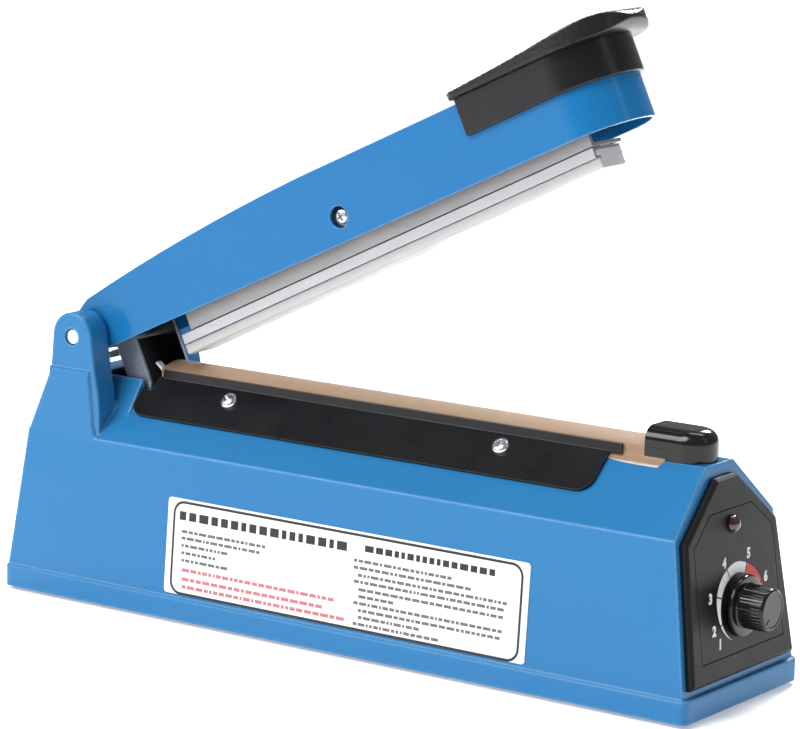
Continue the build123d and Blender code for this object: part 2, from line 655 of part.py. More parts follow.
def pan_screw(seat, head_radius, head_height, shank_radius, shank_length):
    """Pan-head screw with a cross recess, its head standing on a plane."""
    with BuildPart() as screw:
        with BuildSketch(seat):
            Circle(head_radius)
        extrude(amount=head_height)
        crown = screw.faces().filter_by(lambda f: f.normal_at().dot(seat.z_dir) > 0.99)
        fillet(crown.edges(), head_height * 0.7)
        with BuildSketch(seat):
            Circle(shank_radius)
        extrude(amount=-shank_length)
        with BuildSketch(seat.offset(head_height - head_height * 0.5)):
            Rectangle(head_radius * 1.15, head_radius * 0.26)
            Rectangle(head_radius * 0.26, head_radius * 1.15)
        extrude(amount=head_height, mode=Mode.SUBTRACT)
    return screw


for side in (-1, 1):
    for number, x in enumerate(PLATE_SCREW_X, start=1):
        lie = roof_plane(side)
        spot = lie.origin + lie.x_dir * (-side * x) + lie.y_dir * PLATE_SCREW_DROP
        spot = spot + lie.z_dir * (PLATE_LIFT + SHEET)
        seat = Plane(origin=spot, x_dir=lie.x_dir, z_dir=lie.z_dir)
        plate_screw = pan_screw(seat, 3.5, 2.0, 1.5, 7)
        save(plate_screw, f"plate_screw_{'near' if side < 0 else 'far'}_{number}")

# ---- terminal cap over the front end of the heating ribbon ----
CAP_REAR, CAP_FRONT, CAP_HALF, CAP_TOP = 111.2, 134.6, 9.2, 96.7


def cap_block(inset, foot):
    with BuildPart() as block:
        with BuildSketch(Plane.XY.offset(foot)):
            with BuildLine():
                Polyline(
                    (CAP_FRONT - CAP_HALF, CAP_HALF - inset), (CAP_REAR + inset, CAP_HALF - inset),
                    (CAP_REAR + inset, inset - CAP_HALF), (CAP_FRONT - CAP_HALF, inset - CAP_HALF),
                )
                ThreePointArc(
                    (CAP_FRONT - CAP_HALF, inset - CAP_HALF), (CAP_FRONT - inset, 0),
                    (CAP_FRONT - CAP_HALF, CAP_HALF - inset),
                )
            make_face()
        extrude(amount=CAP_TOP - inset - foot)
        fillet(block.faces().sort_by(Axis.Z)[-1].edges().sort_by(Axis.X)[1:], 5.0 - inset)
    return block


cap_outer = cap_block(0, DECK_Z)
cap_inner = cap_block(1.4, DECK_Z - 0.1)
with BuildPart() as terminal_cap:
    add(cap_outer.part)
    add(cap_inner.part, mode=Mode.SUBTRACT)
    with BuildSketch(Plane.YZ.offset(CAP_REAR - 1)):
        add(arch(9.1, DECK_Z - 1, SEAL_CROWN + 0.2))
        make_face()
        with Locations((0, DECK_Z)):
            Rectangle(30, 0.9)
    extrude(amount=10.5, mode=Mode.SUBTRACT)
save(terminal_cap, "terminal_cap")

# ---- cord grommet in the rear wall ----
grommet_axis = REAR_WALL.z_dir
cord_grommet = turned(
    [(3.2, -6.0), (6.2, -6.0), (6.2, -3.7), (4.9, -3.5), (4.9, 0), (6.8, 0), (6.4, 2.2), (3.2, 2.2)],
    tuple(REAR_WALL.origin), tuple(grommet_axis), (0, -1, 0),
)
save(cord_grommet, "cord_grommet")

# ---- rating sticker on the near side wall ----
with BuildPart() as label_sticker:
    with BuildSketch(SIDE_WALL):
        with Locations((0.5, 19.6)):
            RectangleRounded(163, 36.4, 1.5)
    extrude(amount=0.25)
save(label_sticker, "label_sticker")


# ---- arm: folded sheet channel with a round front end ----
def arm_block(inset, bottom):
    """The arm's outside, or its inside when drawn in by the sheet thickness."""
    rear = 10.5 - inset
    with BuildPart() as block:
        with BuildSketch(ARM_SIDE):
            with BuildLine():
                Polyline(
                    (-rear * 0.66, bottom), (280, bottom), (280, ARM_TOP - inset), (118, ARM_TOP - inset),
                )
                ThreePointArc((118, ARM_TOP - inset), (52, ARM_TOP - 3.2 - inset), (3, 12.7 - inset))
                Line((3, 12.7 - inset), (-2.6, 10.0 - inset * 0.9))
                ThreePointArc((-2.6, 10.0 - inset * 0.9), (-rear, 0), (-rear * 0.66, bottom))
            make_face()
        extrude(amount=ARM_HALF - inset, both=True)
        with BuildSketch(plan_plane(PIVOT, ARM_OPEN, -60)):
            Rectangle(2 * ARM_NOSE, 2 * (ARM_HALF - inset))
            with Locations((ARM_NOSE, 0)):
                Circle(ARM_HALF - inset)
        extrude(amount=120, mode=Mode.INTERSECT)
    return block


arm_outer = arm_block(0, ARM_BOTTOM)
top_edges = arm_outer.edges().filter_by(
    lambda e: ARM_SIDE.to_local_coords(e.center()).Y > 12 and ARM_SIDE.to_local_coords(e.center()).X > 4
    and (abs(e.center().Y) > 19 or ARM_SIDE.to_local_coords(e.center()).X > ARM_NOSE)
)
fillet(top_edges, 2.5)
arm_inner = arm_block(ARM_SHEET, ARM_BOTTOM - 4)
with BuildPart() as arm_shell:
    add(arm_outer.part)
    add(arm_inner.part, mode=Mode.SUBTRACT)
    with BuildSketch(ARM_SIDE):
        with Locations((-10, 0)):
            Rectangle(20, 16)
    extrude(amount=ARM_HALF - ARM_SHEET, both=True, mode=Mode.SUBTRACT)
    with BuildSketch(ARM_SIDE):
        Circle(PIN_RADIUS + RUNNING)
    extrude(amount=ARM_HALF + 2, both=True, mode=Mode.SUBTRACT)
    with BuildSketch(ARM_SIDE.offset(ARM_HALF - 3)):
        with Locations((ROCKER_U, ROCKER_V)):
            Circle(4.1)
    extrude(amount=5, mode=Mode.SUBTRACT)
save(arm_shell, "arm_shell")

# ---- sleeve that spaces the arm's walls on the hinge pin ----
with BuildPart() as hinge_sleeve:
    with BuildSketch(ARM_SIDE):
        Circle(5.2)
        Circle(PIN_RADIUS + RUNNING, mode=Mode.SUBTRACT)
    extrude(amount=11.2, both=True)
save(hinge_sleeve, "hinge_sleeve")

# ---- lever: channel that hangs from the hinge and reaches down through the slot ----
LEVER_HALF, LEVER_SHEET, LEVER_WEB, LEVER_EDGE = 13.0, 1.5, 3.5, 13.5
with BuildPart() as lever_bracket:
    with BuildSketch(ARM_SIDE):
        with BuildLine():
            Polyline(
                (-6, -6), (-6, 6), (2, 9), (LEVER_EDGE, 9), (LEVER_EDGE, -26), (8, -40), (8, -56),
                (LEVER_WEB, -56), (LEVER_WEB, -8), close=True,
            )
        make_face()
    extrude(amount=LEVER_HALF, both=True)
    with BuildSketch(ARM_SIDE):
        with BuildLine():
            Polyline(
                (-7, -70), (LEVER_WEB - 1, -70), (LEVER_WEB - 1, -7), (LEVER_WEB + LEVER_SHEET, -7),
                (LEVER_WEB + LEVER_SHEET, -70), (30, -70), (30, 20), (-7, 20), close=True,
            )
        make_face()
    extrude(amount=LEVER_HALF - LEVER_SHEET, both=True, mode=Mode.SUBTRACT)
    for side in (-1, 1):
        with BuildSketch(ARM_SIDE.offset(side * (LEVER_HALF + 7) / 2)):
            with Locations((0, -60)):
                Rectangle(40, 50)
        extrude(amount=(LEVER_HALF - 7) / 2 + 1, both=True, mode=Mode.SUBTRACT)
    with BuildSketch(ARM_SIDE):
        Circle(PIN_RADIUS + RUNNING)
    extrude(amount=LEVER_HALF + 1, both=True, mode=Mode.SUBTRACT)
save(lever_bracket, "lever_bracket")

# ---- stop strap: dark curved strip behind the lever's web ----
with BuildPart() as stop_strap:
    with BuildSketch(ARM_SIDE):
        with BuildLine():
            Polyline((1.6, -15), (1.6, -26), (LEVER_WEB - 0.05, -26), (LEVER_WEB - 0.05, -15))
            ThreePointArc((LEVER_WEB - 0.05, -15), (0.9, -9.6), (-4.3, -7.6))
            Polyline((-4.3, -7.6), (-10.2, -7.6), (-10.2, -9.5), (-4.3, -9.5))
            ThreePointArc((-4.3, -9.5), (-0.4, -11.1), (1.6, -15))
        make_face()
    extrude(amount=6.5, both=True)
save(stop_strap, "stop_strap")

# ---- hanger and cross screw that the press bar rocks on ----
with BuildPart() as rocker_hanger:
    with BuildSketch(ARM_SIDE):
        with BuildLine():
            Polyline(
                (ROCKER_U - 12, ARM_TOP - ARM_SHEET - 0.05), (ROCKER_U + 12, ARM_TOP - ARM_SHEET - 0.05),
                (ROCKER_U + 5, ROCKER_V - 4.5), (ROCKER_U - 5, ROCKER_V - 4.5), close=True,
            )
        make_face()
    extrude(amount=14.5, both=True)
    with BuildSketch(ARM_SIDE):
        with Locations((ROCKER_U, ARM_TOP - ARM_SHEET - 15)):
            Rectangle(40, 27)
    extrude(amount=13.0, both=True, mode=Mode.SUBTRACT)
    with BuildSketch(ARM_SIDE):
        with Locations((ROCKER_U, ROCKER_V)):
            Circle(2.05)
    extrude(amount=16, both=True, mode=Mode.SUBTRACT)
save(rocker_hanger, "rocker_hanger")
rocker_seat = Plane(origin=ROCKER - Vector(0, 17.0, 0), x_dir=tilted_axis(ARM_OPEN + 20), z_dir=(0, -1, 0))
rocker_screw = pan_screw(rocker_seat, 3.3, 2.0, 2.0, 33)
save(rocker_screw, "rocker_screw")
with BuildPart() as rocker_nut:
    with BuildSketch(Plane(origin=ROCKER + Vector(0, 14.6, 0), x_dir=tilted_axis(ARM_OPEN), z_dir=(0, 1, 0))):
        RegularPolygon(3.6, 6)
        Circle(2.0, mode=Mode.SUBTRACT)
    extrude(amount=1.3)
save(rocker_nut, "rocker_nut")

# ---- grip: cap over the arm's front end, and the thumb pad on top ----
GRIP_REAR, GRIP_HALF, GRIP_LOW, GRIP_TOP = 195.7, 21.7, 8.6, 22.6
PAD_REAR, PAD_LIP, PAD_NOSE, PAD_WIDE = 192.6, 255.0, 240.8, 24.0
grip_room = arm_block(-0.06, ARM_BOTTOM)
with BuildPart() as grip_base:
    with BuildSketch(plan_plane(PIVOT, ARM_OPEN, GRIP_LOW)):
        with Locations(((GRIP_REAR + ARM_NOSE) / 2, 0)):
            Rectangle(ARM_NOSE - GRIP_REAR, 2 * GRIP_HALF)
        with Locations((ARM_NOSE, 0)):
            Circle(GRIP_HALF)
    extrude(amount=GRIP_TOP - GRIP_LOW)
    low_rim = grip_base.faces().filter_by(
        lambda f: abs(ARM_SIDE.to_local_coords(f.center()).Y - GRIP_LOW) < 0.01
    )
    fillet(low_rim.edges(), 0.7)
    add(grip_room.part, mode=Mode.SUBTRACT)
save(grip_base, "grip_base")

with BuildPart() as thumb_pad:
    with BuildSketch(ARM_SIDE):
        with BuildLine():
            Polyline((PAD_REAR, 25.4), (PAD_REAR, GRIP_TOP), (PAD_LIP, GRIP_TOP))
            ThreePointArc((PAD_LIP, GRIP_TOP), (261, 23.4), (264.4, 25.2))
            Line((264.4, 25.2), (264.8, 26.6))
            Spline(
                (264.8, 26.6), (262.8, 29.0), (257.5, 30.0), (247, 29.0), (235, 27.8), (214, 26.4),
                (PAD_REAR, 25.4),
            )
        make_face()
    extrude(amount=PAD_WIDE + 1, both=True)
    with BuildSketch(plan_plane(PIVOT, ARM_OPEN, 0)):
        with Locations(((PAD_REAR + PAD_NOSE) / 2, 0)):
            Rectangle(PAD_NOSE - PAD_REAR, 2 * PAD_WIDE)
        with Locations((PAD_NOSE, 0)):
            Circle(PAD_WIDE)
    extrude(amount=60, mode=Mode.INTERSECT)
    rear_corners = thumb_pad.edges().filter_by(
        lambda e: abs(ARM_SIDE.to_local_coords(e.center()).X - PAD_REAR) < 0.1 and abs(e.center().Y) > 20
        and e.length < 5
    )
    fillet(rear_corners, 5)
save(thumb_pad, "thumb_pad")

# ---- press bar: carrier, strip channel and silicone strip, rocking on the cross screw ----
BAR_REAR, BAR_FRONT = -97.5, 105.5
CARRIER_REAR, CARRIER_FRONT = -91.5, 106.3
CARRIER_FOOT, CARRIER_RIM, CARRIER_HALF = -13.5, -4.5, 9.5
CARRIER_SHEET = 1.3


def bar_section(along):
    return end_plane(ROCKER, BAR_ANGLE, along)


with BuildPart() as bar_carrier:
    with BuildSketch(bar_section(CARRIER_REAR)):
        with BuildLine():
            Polyline(
                (-CARRIER_HALF, CARRIER_FOOT), (CARRIER_HALF, CARRIER_FOOT), (CARRIER_HALF, CARRIER_RIM),
                (CARRIER_HALF - CARRIER_SHEET, CARRIER_RIM),
                (CARRIER_HALF - CARRIER_SHEET, CARRIER_FOOT + CARRIER_SHEET),
                (CARRIER_SHEET - CARRIER_HALF, CARRIER_FOOT + CARRIER_SHEET),
                (CARRIER_SHEET - CARRIER_HALF, CARRIER_RIM),
                (-CARRIER_HALF, CARRIER_RIM), close=True,
            )
        make_face()
    extrude(amount=CARRIER_FRONT - CARRIER_REAR)
    # the far wall stops short of the front end
    with BuildSketch(bar_section(CARRIER_FRONT - 12)):
        with Locations((CARRIER_HALF, CARRIER_RIM)):
            Rectangle(4, 2 * (CARRIER_RIM - CARRIER_FOOT - CARRIER_SHEET))
    extrude(amount=13, mode=Mode.SUBTRACT)
    for side in (-1, 1):
        with BuildSketch(BAR_SIDE.offset(side * (CARRIER_HALF - CARRIER_SHEET / 2))):
            with BuildLine():
                Polyline((-14, CARRIER_RIM - 1), (14, CARRIER_RIM - 1), (5, 4), (-5, 4), close=True)
            make_face()
            Circle(2.0 + RUNNING, mode=Mode.SUBTRACT)
        extrude(amount=CARRIER_SHEET / 2, both=True)
save(bar_carrier, "bar_carrier")
with BuildPart() as bar_channel:
    with BuildSketch(bar_section(BAR_REAR)):
        with BuildLine():
            Polyline(
                (-3, -13.9), (-3, CARRIER_FOOT), (3, CARRIER_FOOT), (3, -13.9), (8.8, -13.9), (8.8, -17.7),
                (6.2, -17.7), (6.2, -16.9), (7.9, -16.9), (7.9, -14.8), (-7.9, -14.8), (-7.9, -16.9),
                (-6.2, -16.9), (-6.2, -17.7), (-8.8, -17.7), (-8.8, -13.9), close=True,
            )
        make_face()
    extrude(amount=BAR_FRONT - BAR_REAR)
save(bar_channel, "bar_channel")
with BuildPart() as silicone_strip:
    with BuildSketch(bar_section(BAR_REAR - 0.8)):
        with BuildLine():
            Polyline(
                (-7.7, -14.85), (7.7, -14.85), (7.7, -16.8), (6.0, -16.85), (6.0, -17.8), (7.6, -17.8),
                (7.6, SILICONE_FOOT + 0.8), (6.8, SILICONE_FOOT), (-6.8, SILICONE_FOOT),
                (-7.6, SILICONE_FOOT + 0.8), (-7.6, -17.8), (-6.0, -17.8), (-6.0, -16.85), (-7.7, -16.8),
                close=True,
            )
        make_face()
    extrude(amount=BAR_FRONT - BAR_REAR + 1.4)
save(silicone_strip, "silicone_strip")

# ---- closed pose, for the joint limits ----
lift = SEAL_CROWN + 0.3 - SILICONE_FOOT - PIVOT_Z
reach = sqrt(ROCKER_U ** 2 + ROCKER_V ** 2)
ARM_CLOSED = degrees(atan2(lift / reach, sqrt(1 - (lift / reach) ** 2)) - atan2(ROCKER_V, ROCKER_U))
print("arm closes by", round(ARM_OPEN - ARM_CLOSED, 4), "deg")
print("press bar rocks by", round(ARM_CLOSED + BAR_TILT, 4), "deg")
print("rocker pin at", round(ROCKER.X, 4), round(ROCKER.Z, 4))
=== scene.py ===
import math
import random

import bmesh
import bpy
from mathutils import Matrix, Vector


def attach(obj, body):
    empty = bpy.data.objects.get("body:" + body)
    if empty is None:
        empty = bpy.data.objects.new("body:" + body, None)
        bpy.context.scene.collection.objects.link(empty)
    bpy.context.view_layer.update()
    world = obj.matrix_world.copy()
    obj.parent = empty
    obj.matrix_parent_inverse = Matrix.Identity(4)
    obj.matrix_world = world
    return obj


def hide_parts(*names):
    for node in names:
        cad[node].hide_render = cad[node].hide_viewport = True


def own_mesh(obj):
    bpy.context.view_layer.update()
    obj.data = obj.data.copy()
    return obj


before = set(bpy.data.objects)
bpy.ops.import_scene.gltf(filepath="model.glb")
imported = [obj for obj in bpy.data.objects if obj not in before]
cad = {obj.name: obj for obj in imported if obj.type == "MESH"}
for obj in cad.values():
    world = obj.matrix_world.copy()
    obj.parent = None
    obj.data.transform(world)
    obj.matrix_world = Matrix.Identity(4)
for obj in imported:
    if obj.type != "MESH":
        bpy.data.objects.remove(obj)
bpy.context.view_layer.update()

MM = 0.001

# ---- studio ----
# A pale table under a broad soft key. Softboxes overhead, beside, behind the nose and in front
# draw streaks on gloss paint, and a long lens looks down at the near side and the control panel.
CAMERA_PLACE = (0.7816, -1.1058, 0.3652)
CAMERA_TURN, CAMERA_TILT, CAMERA_ROLL = (math.radians(angle) for angle in (35.28, 10.95, 1.08))
SENSOR, LENS = 36.0, 168.64


def link(name, data):
    """Puts a mesh, lamp or camera in the scene as an object at the origin."""
    piece = bpy.data.objects.new(name, data)
    bpy.context.scene.collection.objects.link(piece)
    return piece


camera = link("camera", bpy.data.cameras.new("camera"))
camera.data.sensor_width, camera.data.lens = SENSOR, LENS
look_back = Vector((math.sin(CAMERA_TURN) * math.cos(CAMERA_TILT),
                    -math.cos(CAMERA_TURN) * math.cos(CAMERA_TILT), math.sin(CAMERA_TILT)))
camera.rotation_mode = "QUATERNION"
camera.rotation_quaternion = (-look_back).to_track_quat("-Z", "Y") @ Matrix.Rotation(
    CAMERA_ROLL, 3, "Z").to_quaternion()
camera.location = CAMERA_PLACE
bpy.context.scene.camera = camera
bpy.context.scene.view_settings.view_transform = "Standard"

world = bpy.data.worlds.new("room")
bpy.context.scene.world = world
world.use_nodes = True
sky = world.node_tree.nodes["Background"].inputs
sky["Color"].default_value = (0.94, 0.96, 1.0, 1)
sky["Strength"].default_value = 0.3


def lamp(name, kind, place, target, power, size=None, **settings):
    """A light at place that shines at target."""
    data = bpy.data.lights.new(name, kind)
    data.energy = power
    for key, value in settings.items():
        setattr(data, key, value)
    if size:
        data.shape, data.size, data.size_y = "RECTANGLE", size[0], size[1]
    light = link(name, data)
    light.location = place
    light.rotation_mode = "QUATERNION"
    light.rotation_quaternion = (Vector(target) - Vector(place)).to_track_quat("-Z", "Y")


lamp("key", "SUN", (-0.9, -2.2, 2.4), (0, 0, 0.1), 2.55, angle=0.6)
lamp("overhead_box", "AREA", (-0.1, 0.35, 1.6), (0, 0, 0.1), 9.0, size=(1.5, 0.3))
lamp("side_box", "AREA", (-1.0, -1.2, 0.85), (0.02, 0, 0.1), 7.0, size=(1.0, 0.25))
lamp("nose_box", "AREA", (-0.15, 1.25, 1.0), (0.08, 0, 0.2), 24.0, size=(0.36, 0.34))
lamp("front_box", "AREA", (1.75, 0.15, 1.2), (0.05, 0, 0.15), 1.2, size=(0.3, 1.3))

FLOOR_REACH = 14.0
floor_mesh = bpy.data.meshes.new("table")
floor_mesh.from_pydata(
    [(-FLOOR_REACH, -FLOOR_REACH, 0), (FLOOR_REACH, -FLOOR_REACH, 0),
     (FLOOR_REACH, FLOOR_REACH, 0), (-FLOOR_REACH, FLOOR_REACH, 0)], [], [(0, 1, 2, 3)])
table = link("table", floor_mesh)


def fill(tree, made, values):
    """Fills a node's input sockets: an output of another node is linked, and any other value is set."""
    for key, value in values.items():
        if isinstance(value, bpy.types.NodeSocket):
            tree.links.new(value, made.inputs[key])
        else:
            made.inputs[key].default_value = value
    return made


def new_material(name):
    """A material with its node tree and its shader."""
    material = bpy.data.materials.new(name)
    material.use_nodes = True
    return material, material.node_tree, material.node_tree.nodes["Principled BSDF"]


table_paint, tree, shader = new_material("pale_table")
fill(tree, shader, {
    "Base Color": (0.96, 0.96, 0.965, 1), "Roughness": 0.7, "Specular IOR Level": 0.2,
    "Emission Color": (1, 1, 1, 1), "Emission Strength": 0.3})
floor_mesh.materials.append(table_paint)

# ---- blue housing ----
# The tapered body with its skirt and two hinge ears is one injection moulding in glossy blue ABS.
# It is screwed to the bottom plate from below; its edges are rounded by the mould.


def node(tree, kind, sockets=None, **settings):
    """Adds a node, sets its options, and fills or links its input sockets."""
    made = tree.nodes.new(kind)
    for key, value in settings.items():
        setattr(made, key, value)
    return fill(tree, made, sockets or {})


def new_group(name, kind, inputs, outputs):
    """An empty node group with named sockets: (name, socket type, default value)."""
    tree = bpy.data.node_groups.new(name, kind)
    for title, socket_kind, value in inputs:
        socket = tree.interface.new_socket(title, in_out="INPUT", socket_type=socket_kind)
        if value is not None:
            socket.default_value = value
    for title, socket_kind in outputs:
        tree.interface.new_socket(title, in_out="OUTPUT", socket_type=socket_kind)
    return tree, tree.nodes.new("NodeGroupInput").outputs, tree.nodes.new("NodeGroupOutput").inputs


def object_place(tree):
    """The point that is shaded, in the object's own space."""
    return node(tree, "ShaderNodeTexCoord").outputs["Object"]


def noise(tree, place, scale, detail):
    """Soft noise at a place."""
    made = node(tree, "ShaderNodeTexNoise", {"Vector": place, "Scale": scale, "Detail": detail})
    return made.outputs["Fac"]


def maths(tree, operation, *values):
    """One sum on numbers."""
    return node(tree, "ShaderNodeMath", dict(enumerate(values)), operation=operation).outputs[0]


def vectors(tree, operation, first, second, result="Vector"):
    """One sum on two vectors."""
    return node(tree, "ShaderNodeVectorMath", {0: first, 1: second}, operation=operation).outputs[result]


def stretched(tree, vector, share):
    """A vector times a number."""
    return node(tree, "ShaderNodeVectorMath", {0: vector, "Scale": share}, operation="SCALE").outputs[0]


def ranged(tree, value, start, end, low=0.0, high=1.0):
    """A value that goes from low to high as its source goes from start to end."""
    return node(tree, "ShaderNodeMapRange", {
        "Value": value, "From Min": start, "From Max": end, "To Min": low, "To Max": high}).outputs[0]


def mixed(tree, share, first, second):
    """A colour that goes from the first to the second."""
    return node(tree, "ShaderNodeMix", {"Factor": share, 6: first, 7: second}, data_type="RGBA").outputs[2]


def relief(tree, height, depth, **base):
    """A normal that leans with a height."""
    made = node(tree, "ShaderNodeBump", {"Height": height, "Distance": depth, **base})
    return made.outputs["Normal"]


FLOAT, COLOUR, VECTOR = "NodeSocketFloat", "NodeSocketColor", "NodeSocketVector"

# colour that drifts a little over the surface, with a lighter rim along edges: rubbed wear on some finishes,
# a painted highlight on the blue housing, the arm and the lever
worn_and_lit, given, put = new_group(
    "worn_and_lit_surface", "ShaderNodeTree",
    [("Colour", COLOUR, None), ("Drift Colour", COLOUR, None), ("Edge Colour", COLOUR, None),
     ("Patches", FLOAT, 25.0), ("Edge Reach", FLOAT, 0.0004), ("Edge Amount", FLOAT, 0.4),
     ("Gloss Low", FLOAT, 0.25), ("Gloss High", FLOAT, 0.4)],
    [("Colour", COLOUR), ("Roughness", FLOAT), ("Edge", FLOAT)])
place = object_place(worn_and_lit)
drifted = mixed(worn_and_lit, noise(worn_and_lit, place, given["Patches"], 4.0), given["Colour"], given["Drift Colour"])
rounded = node(worn_and_lit, "ShaderNodeBevel", {"Radius": given["Edge Reach"]}, samples=4).outputs["Normal"]
flat = node(worn_and_lit, "ShaderNodeNewGeometry").outputs["Normal"]
agreement = vectors(worn_and_lit, "DOT_PRODUCT", rounded, flat, "Value")
ragged = ranged(worn_and_lit, noise(worn_and_lit, place, 900.0, 3.0), 0.3, 0.6, 0.55, 1.0)
# the edge mask lightens edges: wear on some finishes, a painted highlight on the blue housing, the arm and
# the lever
edge = maths(worn_and_lit, "MULTIPLY", ranged(worn_and_lit, agreement, 0.998, 0.86), ragged)
rubbed_or_lit = maths(worn_and_lit, "MULTIPLY", edge, given["Edge Amount"])
smears = noise(worn_and_lit, place, 60.0, 5.0)
smeared = ranged(worn_and_lit, smears, 0.3, 0.7, given["Gloss Low"], given["Gloss High"])
worn_and_lit.links.new(mixed(worn_and_lit, rubbed_or_lit, drifted, given["Edge Colour"]), put["Colour"])
worn_and_lit.links.new(smeared, put["Roughness"])
worn_and_lit.links.new(edge, put["Edge"])

# height of a fine skin: moulded grain, spray paint's soft ripple, or the pits of a casting
skin, given, put = new_group(
    "fine_skin", "ShaderNodeTree",
    [("Grain", FLOAT, 1500.0), ("Ripple", FLOAT, 250.0), ("Ripple Share", FLOAT, 0.5)],
    [("Height", FLOAT)])
place = object_place(skin)
height = node(skin, "ShaderNodeMix", {
    "Factor": given["Ripple Share"], 2: noise(skin, place, given["Grain"], 2.0),
    3: noise(skin, place, given["Ripple"], 1.0)})
skin.links.new(height.outputs[0], put["Height"])


def use_group(tree, group, values):
    """Places a node group in a material and fills its inputs."""
    placed = tree.nodes.new("ShaderNodeGroup")
    placed.node_tree = group
    return fill(tree, placed, values)


def rgb(red, green, blue):
    """An opaque colour."""
    return (red, green, blue, 1.0)


def new_finish(name, colour, drift, edge, gloss, patches=25.0, reach=0.0004, edge_amount=0.4,
               grain=1500.0, ripple=250.0, ripple_share=0.5, bump=0.00002, **constants):
    """A material with drifting colour, lighter edges (rubbed wear on some finishes, a painted highlight on
    others), uneven gloss and a fine skin.
    """
    material, tree, shader = new_material(name)
    worn_or_lit = use_group(tree, worn_and_lit, {
        "Colour": rgb(*colour), "Drift Colour": rgb(*drift), "Edge Colour": rgb(*edge), "Patches": patches,
        "Edge Reach": reach, "Edge Amount": edge_amount, "Gloss Low": gloss[0], "Gloss High": gloss[1]})
    texture = use_group(tree, skin, {"Grain": grain, "Ripple": ripple, "Ripple Share": ripple_share})
    round_edge = node(tree, "ShaderNodeBevel", {"Radius": reach}, samples=4).outputs["Normal"]
    fill(tree, shader, {key.replace("_", " "): value for key, value in constants.items()})
    fill(tree, shader, {"Base Color": worn_or_lit.outputs["Colour"], "Roughness": worn_or_lit.outputs["Roughness"],
                        "Normal": relief(tree, texture.outputs["Height"], bump, Normal=round_edge)})
    return material


def wear(data, material):
    """Gives a mesh one material."""
    data.materials.clear()
    data.materials.append(material)


def clothe(material, *names):
    """Gives CAD nodes a material."""
    for name in names:
        wear(cad[name].data, material)


# its light edge colour is a painted highlight along the moulding's edges, such as the slanted edge above the
# panel
blue_moulding = new_finish(
    "blue_moulding", (0.016, 0.157, 0.365), (0.019, 0.167, 0.382), (0.20, 0.48, 0.80),
    (0.22, 0.26), reach=0.0014, edge_amount=0.75, ripple_share=0.8, bump=0.000004, Specular_IOR_Level=0.32)
clothe(blue_moulding, "body_shell")

# ---- bottom plate, feet and cord grommet ----
# A pressed zinc-plated plate closes the housing. Four screws go up through turned rubber feet into
# the moulding's bosses, and a rubber grommet in the rear wall waits for the cord.
zinc_plate = new_finish(
    "zinc_plate", (0.48, 0.50, 0.53), (0.58, 0.60, 0.63), (0.80, 0.82, 0.84), (0.28, 0.46),
    patches=180.0, reach=0.0003, edge_amount=0.7, bump=0.00003, Metallic=0.9)
foot_rubber = new_finish(
    "foot_rubber", (0.018, 0.018, 0.019), (0.03, 0.03, 0.031), (0.06, 0.06, 0.06), (0.62, 0.8),
    grain=2600.0, ripple_share=0.2, bump=0.00005)
bright_screw = new_finish(
    "bright_screw", (0.62, 0.63, 0.65), (0.72, 0.73, 0.75), (0.9, 0.91, 0.92), (0.16, 0.28),
    patches=400.0, reach=0.00015, edge_amount=0.6, bump=0.00001, Metallic=1.0)
clothe(zinc_plate, "base_plate", "board_bracket", "switch_bracket")
clothe(bright_screw, *[f"base_screw_{n}" for n in range(1, 5)], "core_screw_1", "core_screw_2")
clothe(foot_rubber, *[f"rubber_foot_{n}" for n in range(1, 5)], "cord_grommet")

# ---- transformer ----
# A stack of punched iron sheets with an enamelled winding under yellowed tape, bolted to the plate.
# The sheets' edges show as fine lines across the core.
core_iron, tree, shader = new_material("core_sheets")
place = object_place(tree)
sheets = node(tree, "ShaderNodeTexWave", {"Vector": place, "Scale": 320.0, "Distortion": 0.4},
              bands_direction="Y").outputs["Fac"]
dark = mixed(tree, noise(tree, place, 160.0, 5.0), rgb(0.06, 0.06, 0.065), rgb(0.13, 0.10, 0.08))
fill(tree, shader, {
    "Base Color": mixed(tree, sheets, rgb(0.02, 0.02, 0.02), dark), "Metallic": 0.7, "Roughness": 0.5,
    "Normal": relief(tree, sheets, 0.0001)})
clothe(core_iron, "transformer_core")
winding_tape = new_finish(
    "winding_tape", (0.62, 0.38, 0.06), (0.50, 0.27, 0.04), (0.75, 0.52, 0.15), (0.25, 0.45),
    patches=90.0, grain=700.0, bump=0.00006)
clothe(winding_tape, "transformer_coil")

# ---- timer board and limit switch ----
# A lacquered board stands behind the panel with its relay and capacitor, and a snap switch waits
# for the lever. They are bought parts in moulded cases, held by folded brackets.
lacquered_board = new_finish(
    "lacquered_board", (0.02, 0.16, 0.06), (0.03, 0.21, 0.08), (0.45, 0.42, 0.25), (0.22, 0.4),
    patches=220.0, bump=0.00003)
relay_case = new_finish(
    "relay_case", (0.03, 0.10, 0.32), (0.035, 0.12, 0.36), (0.1, 0.2, 0.45), (0.3, 0.42))
capacitor_sleeve = new_finish(
    "capacitor_sleeve", (0.02, 0.02, 0.05), (0.03, 0.03, 0.07), (0.3, 0.3, 0.33), (0.2, 0.35))
black_case = new_finish(
    "black_case", (0.016, 0.016, 0.017), (0.022, 0.022, 0.024), (0.09, 0.09, 0.09), (0.35, 0.5))
white_nylon = new_finish(
    "white_nylon", (0.72, 0.71, 0.66), (0.78, 0.77, 0.73), (0.85, 0.85, 0.82), (0.35, 0.5),
    Subsurface_Weight=0.2, Subsurface_Scale=0.001)
pot_can = new_finish(
    "pot_can", (0.52, 0.50, 0.44), (0.60, 0.58, 0.52), (0.8, 0.78, 0.7), (0.3, 0.45), Metallic=1.0)
clothe(lacquered_board, "circuit_board")
clothe(relay_case, "board_relay")
clothe(capacitor_sleeve, "board_capacitor")
clothe(black_case, "switch_body")
clothe(white_nylon, "switch_button", "hinge_washer_near", "hinge_washer_far")
clothe(pot_can, "timer_pot", "timer_shaft", "timer_nut")

